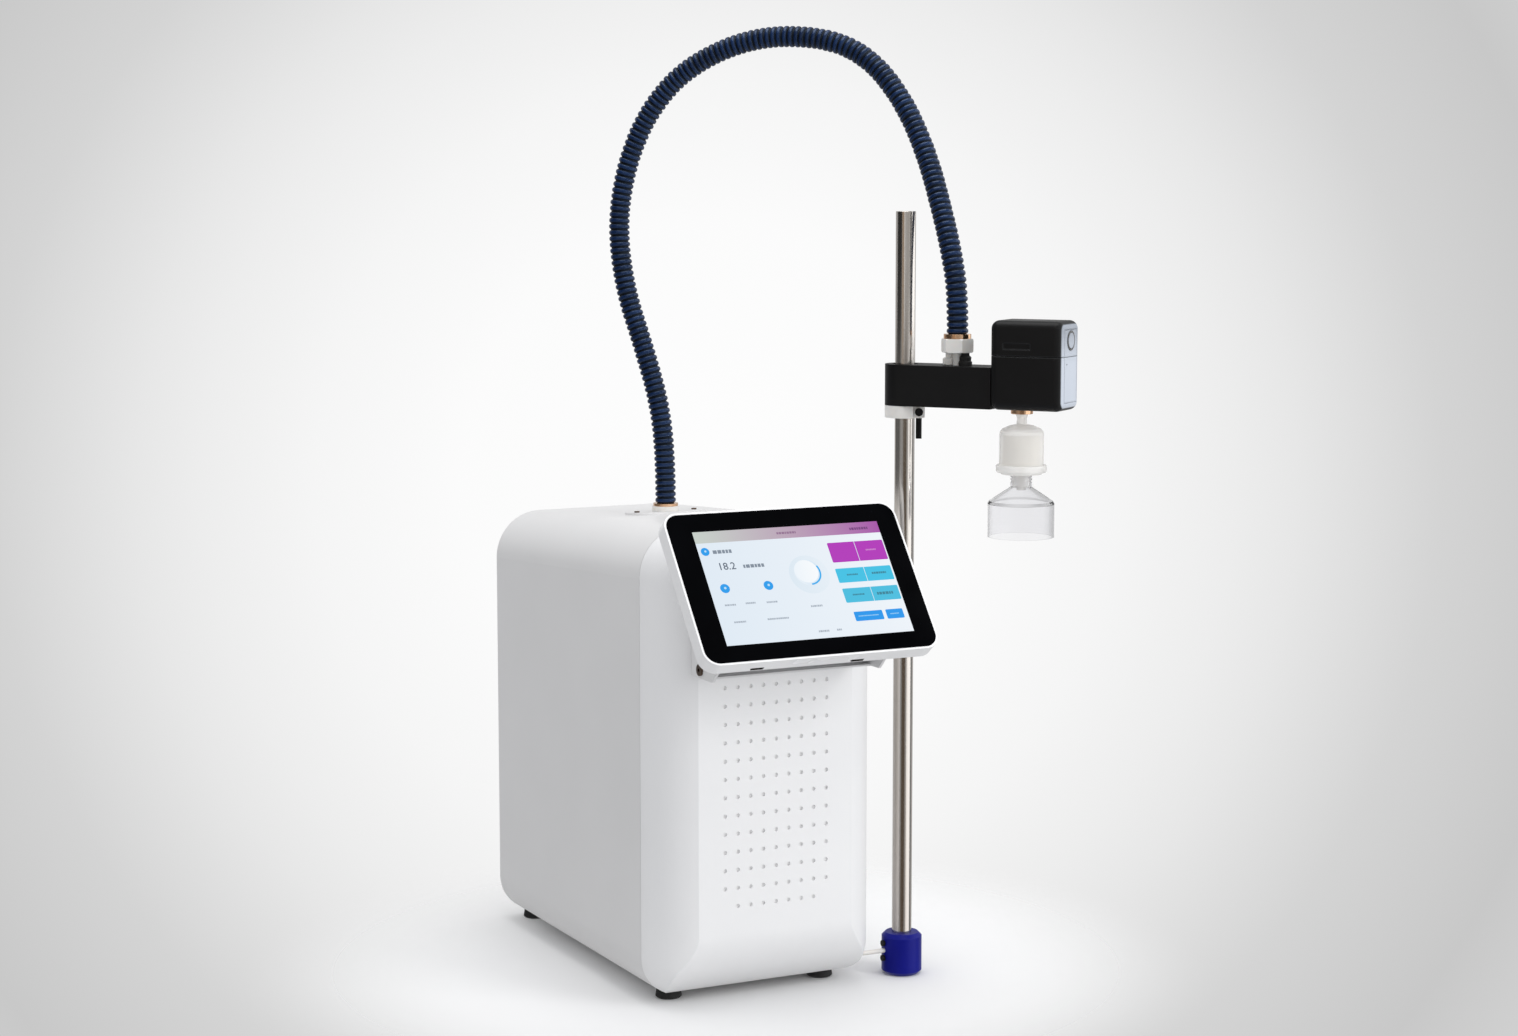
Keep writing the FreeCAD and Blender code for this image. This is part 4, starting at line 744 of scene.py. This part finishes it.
def from_screen_colour(red, green, blue):
    """A colour as a screen names it, 0 to 255, turned into light."""
    return tuple(((v / 255 + 0.055) / 1.055) ** 2.4 if v > 10 else v / 3294.6 for v in (red, green, blue))


# %% [markdown]
# Two slots in the tray's lower edge are in shade inside. The tray is one white piece, so a mask in
# the screen's own directions paints that shade, dark, on the walls of the two slots and their edges only.

# %% Painted shade in the tray's slots
slot_places = (-0.0745, 0.0420)
slot_half_width = 0.0073
slot_depth = 0.0147
slot_half_depth = 0.0023
slots_below = -0.080


def within(tree, value, middle, reach):
    """1 where a value is closer to a middle than the reach, and 0 elsewhere."""
    away = maths(tree, "ABSOLUTE", maths(tree, "SUBTRACT", value, middle))
    return maths(tree, "LESS_THAN", away, reach)


def paint_slot_shade(tree, shader):
    """Paint shade on the walls of the two slots, dark over the tray's white."""
    from_centre = vector_maths(tree, "SUBTRACT", put(tree, "TexCoord").outputs["Object"], glass_centre * MM)
    right = reach_along(tree, from_centre, (1.0, 0.0, 0.0))
    behind = maths(tree, "MULTIPLY", reach_along(tree, from_centre, glass_out), -1.0)
    low = maths(tree, "LESS_THAN", reach_along(tree, from_centre, glass_up), slots_below)
    in_depth = within(tree, behind, slot_depth, slot_half_depth)
    sides = [within(tree, right, place, slot_half_width) for place in slot_places]
    mask = maths(tree, "MULTIPLY", maths(tree, "MULTIPLY", low, in_depth), maths(tree, "MAXIMUM", *sides))
    white = shader.inputs["Base Color"].links[0].from_socket
    # The dark colour here is painted shade inside the slots.
    dress(tree, shader, Base_Color=colours(tree, mask, white, (0.020, 0.012, 0.009)))


tray = finishes["white_rim"]
paint_slot_shade(*tree_and_shader(tray))
print("dark slots:", len(slot_places), "in", tray.name)

# %% Plates of the picture
picture = bmesh.new()
ink = picture.loops.layers.float_color.new("ink")


def plate(outline, level, left_colour, right_colour=None):
    """A thin closed plate with an outline in mm; its colour may fade from left to right."""
    low_x = min(x for x, _ in outline)
    high_x = max(x for x, _ in outline)
    bottom = [picture.verts.new(on_glass(x, y, lift)) for x, y in outline]
    top = [picture.verts.new(on_glass(x, y, lift + layer * level)) for x, y in outline]
    faces = [picture.faces.new(top), picture.faces.new(list(reversed(bottom)))]
    count = len(outline)
    for k in range(count):
        after = (k + 1) % count
        faces.append(picture.faces.new((bottom[k], bottom[after], top[after], top[k])))
    first = Vector(from_screen_colour(*left_colour))
    last = Vector(from_screen_colour(*(right_colour or left_colour)))
    for face in faces:
        for loop in face.loops:
            right = loop.vert.co.x / MM - glass_centre.x
            share = (right - low_x) / (high_x - low_x)
            loop[ink] = (*first.lerp(last, share), 1.0)


def box_outline(x0, y0, x1, y1):
    """The corners of a box, from the lower left."""
    return [(x0, y0), (x1, y0), (x1, y1), (x0, y1)]


def rounded_box(x0, y0, x1, y1, corner=1.2, steps=4):
    """The outline of a box with round corners."""
    points = []
    for cx, cy, start in ((x1 - corner, y1 - corner, 0), (x0 + corner, y1 - corner, 90),
                          (x0 + corner, y0 + corner, 180), (x1 - corner, y0 + corner, 270)):
        for k in range(steps + 1):
            angle = math.radians(start + 90 * k / steps)
            points.append((cx + corner * math.cos(angle), cy + corner * math.sin(angle)))
    return points


def disc(x, y, radius, steps=40):
    """The outline of a disc."""
    return [(x + radius * math.cos(math.tau * k / steps), y + radius * math.sin(math.tau * k / steps))
            for k in range(steps)]


def arc_band(x, y, inner, outer, first, last, steps=24):
    """The outline of a part of a ring, between two angles in degrees."""
    angles = [math.radians(first + (last - first) * k / steps) for k in range(steps + 1)]
    return ([(x + outer * math.cos(a), y + outer * math.sin(a)) for a in angles]
            + [(x + inner * math.cos(a), y + inner * math.sin(a)) for a in reversed(angles)])


def dashes(x, y, width, height, colour, level, seed):
    """A line of short dashes that stands for a word."""
    hand = random.Random(seed)
    right = x + width
    while x < right - 0.8:
        step = min(hand.uniform(0.9, 2.4) * height * 0.5, right - x)
        plate(box_outline(x, y, x + step, y + height), level, colour)
        x += step + height * 0.22


bar_low = 52.2
bar_middle = 10.0
bar_mauve = (186, 158, 182)
plate(box_outline(picture_left, picture_low, picture_right, picture_high), 1,
      (226, 237, 247), (240, 246, 252))
plate(box_outline(picture_left, bar_low, bar_middle, picture_high), 2, (200, 210, 202), bar_mauve)
plate(box_outline(bar_middle, bar_low, picture_right, picture_high), 2, bar_mauve, (166, 74, 168))
print("ground and bar faces:", len(picture.faces))

# %% Dots, gauge, tiles and buttons
bright_blue = (0, 156, 238)
divider_width = 0.6
for x, y, radius in ((-100.0, 42.0, 4.8), (-90.5, -2.6, 5.4), (-40.4, -2.6, 5.4)):
    plate(disc(x, y, radius), 2, bright_blue)
    plate(disc(x + 0.4, y + 0.5, radius * 0.26), 3, (190, 226, 250))
gauge_x, gauge_y = 10.5, 7.0
plate(disc(gauge_x, gauge_y, 23.0), 2, (222, 235, 245), (232, 241, 249))
plate(disc(gauge_x - 1.0, gauge_y + 2.5, 15.6), 3, (236, 244, 251), (214, 232, 246))
plate(disc(gauge_x - 2.2, gauge_y + 3.9, 13.6), 4, (240, 247, 253), (250, 253, 255))
plate(arc_band(gauge_x - 1.0, gauge_y + 2.5, 13.4, 15.2, -88, 30), 5, (36, 172, 240))
for x0, y0, x1, y1, divider, colour in (
        (42.7, 19.0, 109.2, 43.0, 74.7, (178, 38, 186)),
        (42.2, -5.8, 108.6, 11.4, 76.0, (52, 194, 230)),
        (42.8, -29.9, 108.8, -12.8, 76.0, (62, 190, 224))):
    plate(rounded_box(x0, y0, x1, y1), 2, colour)
    plate(box_outline(divider, y0, divider + divider_width, y1), 3, (226, 238, 246))
for x0, x1 in ((47.0, 80.8), (84.8, 105.2)):
    plate(rounded_box(x0, -52.4, x1, -41.2), 2, (0, 150, 238))
print("picture faces:", len(picture.faces))

# %% Marks that stand for words
grey_mark = (168, 178, 190)
title_mark = (128, 140, 154)
tile_mark = (44, 128, 150)
button_mark = (150, 208, 246)
for index, (x, y, width, height, colour, level) in enumerate((
        (-91.5, 38.9, 21.5, 4.2, title_mark, 2), (-62.0, 19.9, 24.0, 4.0, title_mark, 2),
        (-96.5, -23.2, 12.5, 2.0, grey_mark, 2), (-72.5, -22.6, 11.5, 2.0, grey_mark, 2),
        (-48.5, -23.2, 13.0, 2.0, grey_mark, 2), (-92.0, -43.6, 13.5, 2.0, grey_mark, 2),
        (-53.5, -43.0, 24.5, 2.0, grey_mark, 2), (0.5, -31.8, 13.5, 2.2, grey_mark, 2),
        (0.0, -61.8, 12.5, 2.2, grey_mark, 2), (21.5, -61.6, 5.5, 2.2, grey_mark, 2),
        (54.0, 2.4, 13.0, 1.8, tile_mark, 3), (84.0, 2.2, 17.0, 2.4, tile_mark, 3),
        (53.0, -21.8, 14.0, 1.8, tile_mark, 3), (82.0, -23.0, 20.0, 3.2, tile_mark, 3),
        (51.5, -47.2, 24.5, 1.2, button_mark, 3), (89.5, -47.2, 11.0, 1.2, button_mark, 3),
        (86.0, 31.0, 12.5, 1.8, (206, 130, 206), 3), (-12.0, 57.4, 23.0, 2.6, (146, 112, 144), 3),
        (75.0, 57.0, 22.0, 3.0, (116, 52, 122), 3))):
    dashes(x, y, width, height, colour, level, index)
print("picture faces:", len(picture.faces))

# %% The reading
dark_mark = (92, 104, 120)
digit_share = 0.7
digit_swell = 0.10


def add_number(text, x, y, height):
    """The reading in plain digits, as a thin solid lying on the ground plate."""
    curve = bpy.data.curves.new("reading", "FONT")
    curve.body = text
    curve.size = height / digit_share
    curve.extrude = layer / 2
    curve.resolution_u = 3
    curve.offset = digit_swell
    holder = bpy.data.objects.new("reading", curve)
    scene.collection.objects.link(holder)
    bpy.context.view_layer.update()
    mesh = bpy.data.meshes.new_from_object(holder.evaluated_get(bpy.context.evaluated_depsgraph_get()))
    made = [picture.verts.new(on_glass(x + v.co.x, y + v.co.y, layer * 1.6 + v.co.z)) for v in mesh.vertices]
    for polygon in mesh.polygons:
        face = picture.faces.new([made[k] for k in polygon.vertices])
        for loop in face.loops:
            loop[ink] = (*from_screen_colour(*dark_mark), 1.0)
    bpy.data.meshes.remove(mesh)
    bpy.data.objects.remove(holder)
    bpy.data.curves.remove(curve)


add_number("18.2", -91.0, 19.4, 8.4)
print("faces with the reading:", len(picture.faces))

# %% The finished picture
picture_mesh = bpy.data.meshes.new("screen_picture")
bmesh.ops.recalc_face_normals(picture, faces=picture.faces)
picture.to_mesh(picture_mesh)
picture.free()
screen_picture = bpy.data.objects.new("screen_picture", picture_mesh)
scene.collection.objects.link(screen_picture)
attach(screen_picture, "screen")
print("picture faces:", len(picture_mesh.polygons))

# %% Lit picture finish
picture_light = 0.94


def make_lit_picture():
    """A dark film that shines in the colour each plate stores."""
    material, tree, shader = start_finish("lit_picture")
    film = use(tree, fine_grain, Grain_Size=60.0, Patch_Size=22.0)
    stored = put(tree, "Attribute", {"attribute_name": "ink"}).outputs["Color"]
    dress(tree, shader, Emission_Color=stored, Emission_Strength=picture_light,
          Base_Color=(0.01, 0.01, 0.012, 1.0), Roughness=between(tree, film["Patches"], 0.05, 0.16))
    return material


picture_mesh.materials.append(make_lit_picture())
print("picture finish:", picture_mesh.materials[0].name)

# %% [markdown]
# The studio is plain: a pale floor, one large lamp at the front right and one overhead. The floor
# fades out into the backdrop a little way from the object. It is darker for the light that bounces
# off it, so the white covers don't glow from below, and gloss passes through it.

# %% Floor
floor_reach = 6.0
floor_drop = 0.0002
fade_middle = (-0.15, 0.14, 0.0)
fade_from = 0.22
fade_to = 0.56
floor_paint = (0.94, 0.94, 0.94)
bounce_paint = (0.72, 0.72, 0.72)


def make_floor():
    """A wide flat square with the pale paint, which turns clear away from the object."""
    mesh = bpy.data.meshes.new("floor")
    work = bmesh.new()
    work.faces.new([work.verts.new((x * floor_reach, y * floor_reach, -floor_drop))
                    for x, y in ((-1, -1), (1, -1), (1, 1), (-1, 1))])
    work.to_mesh(mesh)
    work.free()
    floor = bpy.data.objects.new("floor", mesh)
    scene.collection.objects.link(floor)
    material, tree, shader = start_finish("pale_floor")
    path = put(tree, "LightPath").outputs
    dress(tree, shader, Base_Color=colours(tree, path["Is Diffuse Ray"], floor_paint, bounce_paint),
          Roughness=0.9, Specular_IOR_Level=0.1)
    here = put(tree, "TexCoord").outputs["Object"]
    from_middle = vector_maths(tree, "DISTANCE", here, fade_middle, "Value")
    fade = put(tree, "MapRange", {"interpolation_type": "SMOOTHSTEP"}, Value=from_middle,
               From_Min=fade_from, From_Max=fade_to).outputs["Result"]
    gone = maths(tree, "MAXIMUM", fade, path["Is Glossy Ray"])
    clear = put(tree, "BsdfTransparent").outputs["BSDF"]
    end = next(node for node in tree.nodes if node.type == "OUTPUT_MATERIAL")
    feed(tree, end.inputs["Surface"], mixed(tree, gone, shader.outputs["BSDF"], clear))
    mesh.materials.append(material)


make_floor()
print("floor reach, m:", floor_reach)

# %% [markdown]
# The world lights evenly from above and a little less from below. What the camera, gloss and
# glass see of it is a backdrop that is brightest behind the object and darkens toward the corners
# of the photograph. Round the rest of the room the camera and glass see an even pale tone, and
# gloss sees the backdrop's darkest grey.

# %% World
world_light = 0.70
below_share = 0.85
backdrop_centre = Vector((0.436, 0.894, -0.105)).normalized()
backdrop_tones = [(0.0, 0.985), (0.30, 0.968), (0.47, 0.915), (0.60, 0.847), (0.67, 0.799),
                  (0.83, 0.658), (1.0, 0.578)]
backdrop_reach = math.radians(17.2)
room_from = math.radians(27.2)
room_tone = 0.86


def make_world():
    """Even light for matt skins, and a backdrop for the camera, gloss and glass."""
    world = bpy.data.worlds.new("studio")
    world.use_nodes = True
    tree = world.node_tree
    tree.nodes.clear()
    path = put(tree, "LightPath").outputs
    toward = put(tree, "TexCoord").outputs["Generated"]
    nearness = maths(tree, "MINIMUM", reach_along(tree, toward, backdrop_centre), 1.0)
    angle = maths(tree, "ARCCOSINE", nearness)
    ramp = put(tree, "ValToRGB", Fac=how_far(tree, angle, 0.0, backdrop_reach))
    stops = ramp.color_ramp.elements
    for position, _ in backdrop_tones[1:-1]:
        stops.new(position)
    for stop, (_, grey) in zip(stops, backdrop_tones):
        stop.color = (grey, grey, grey, 1.0)
    room = put(tree, "MapRange", Value=angle, From_Min=backdrop_reach, From_Max=room_from,
               To_Min=backdrop_tones[-1][1], To_Max=room_tone).outputs["Result"]
    pale = put(tree, "CombineXYZ", X=room, Y=room, Z=room).outputs["Vector"]
    not_gloss = maths(tree, "LESS_THAN", path["Is Glossy Ray"], 0.5)
    past_edge = maths(tree, "GREATER_THAN", angle, backdrop_reach)
    tone = colours(tree, maths(tree, "MULTIPLY", not_gloss, past_edge), ramp.outputs["Color"], pale)
    backdrop = put(tree, "Background", Color=tone, Strength=1.0).outputs["Background"]
    up = put(tree, "SeparateXYZ", Vector=toward).outputs["Z"]
    strength = put(tree, "MapRange", Value=up, From_Min=-0.35, From_Max=0.10,
                   To_Min=below_share * world_light, To_Max=world_light).outputs["Result"]
    light = put(tree, "Background", Color=(0.97, 0.98, 1.0, 1.0), Strength=strength).outputs["Background"]
    through = maths(tree, "MAXIMUM", path["Is Glossy Ray"], path["Is Transmission Ray"])
    seen = maths(tree, "MAXIMUM", path["Is Camera Ray"], through)
    feed(tree, put(tree, "OutputWorld").inputs["Surface"], mixed(tree, seen, light, backdrop))
    scene.world = world


make_world()
print("world:", scene.world.name)

# %% [markdown]
# A round steel pole mirrors the whole room, so in an all-white room it looks flat. A studio puts
# dark and white cards beside it to draw stripes down its sides. Here a few are brown, for the
# warm streaks of ground steel. They stand in two rows, as the pole's stripes change below the
# arm, and the step between the rows is hidden behind it. The cards are seen only by gloss: no
# camera sees them, and they neither light the object nor shade it.

# %% Cards for the metal
plain = (1.0, 1.0, 1.0)
brown = (1.0, 0.78, 0.58)
high_row = (("dark_left", -108, -46, 0.03, plain), ("warm_middle", -44, -20, 0.46, brown),
            ("bright_middle", -20, -12, 1.0, plain), ("dark_right", 46, 74, 0.01, plain),
            ("white_right", 76, 128, 1.6, plain))
low_row = (("grey_edge", -128, -62, 0.16, plain), ("grey_left", -62, -22, 0.36, plain),
           ("brown_middle", -22, 20, 0.13, brown), ("grey_right", 22, 36, 0.50, plain),
           ("white_low", 38, 88, 1.5, plain), ("dark_edge", 92, 118, 0.22, plain))
card_distance = 1.7
card_foot = -0.8
row_edge = 0.60
card_top = 2.6
back = Vector((-looking.x, -looking.y, 0)).normalized()


def card(name, turn_from, turn_to, low, high, grey, tint):
    """An upright strip round the pole, between two angles from the camera's side."""
    mesh = bpy.data.meshes.new(name)
    work = bmesh.new()
    rails = []
    for share in (0.0, 0.25, 0.5, 0.75, 1.0):
        turn = math.radians(turn_from + (turn_to - turn_from) * share)
        out = Matrix.Rotation(turn, 3, "Z") @ back
        rails.append([work.verts.new((out.x * card_distance, out.y * card_distance, z))
                      for z in (low, high)])
    for a, b in zip(rails, rails[1:]):
        work.faces.new((a[0], b[0], b[1], a[1]))
    work.to_mesh(mesh)
    work.free()
    strip = bpy.data.objects.new(name, mesh)
    scene.collection.objects.link(strip)
    for ray in ("camera", "diffuse", "transmission", "volume_scatter", "shadow"):
        setattr(strip, "visible_" + ray, False)
    material, tree, shader = start_finish(name)
    dress(tree, shader, Base_Color=(0.0, 0.0, 0.0, 1.0), Roughness=1.0, Specular_IOR_Level=0.0,
          Emission_Color=(*tint, 1.0), Emission_Strength=grey)
    mesh.materials.append(material)


for row, low, high in ((high_row, row_edge, card_top), (low_row, card_foot, row_edge)):
    for name, turn_from, turn_to, grey, tint in row:
        card(name, turn_from, turn_to, low, high, grey, tint)
print("cards:", len(high_row), "above and", len(low_row), "below")

# %% [markdown]
# Two wide lamps give the soft shadows of a photo studio. The larger part of the light comes from
# the front right, and the overhead lamp brightens the top and lays the short shadow at the feet.

# %% The lamps
def lamp(name, place, aim, size, power):
    """A rectangular lamp at a place, turned to shine on its aim."""
    light = bpy.data.lights.new(name, "AREA")
    light.shape = "RECTANGLE"
    light.size, light.size_y = size
    light.energy = power
    holder = bpy.data.objects.new(name, light)
    holder.location = place
    holder.rotation_euler = (Vector(aim) - Vector(place)).to_track_quat("-Z", "Y").to_euler()
    scene.collection.objects.link(holder)


aim_at = (-0.15, 0.1, 0.45)
lamp("front_right_lamp", (1.6, -2.6, 1.6), aim_at, (1.4, 1.8), 38.5)
lamp("overhead_lamp", (-0.2, 0.0, 2.6), aim_at, (1.6, 1.6), 24.0)
scene.view_settings.view_transform = "Standard"
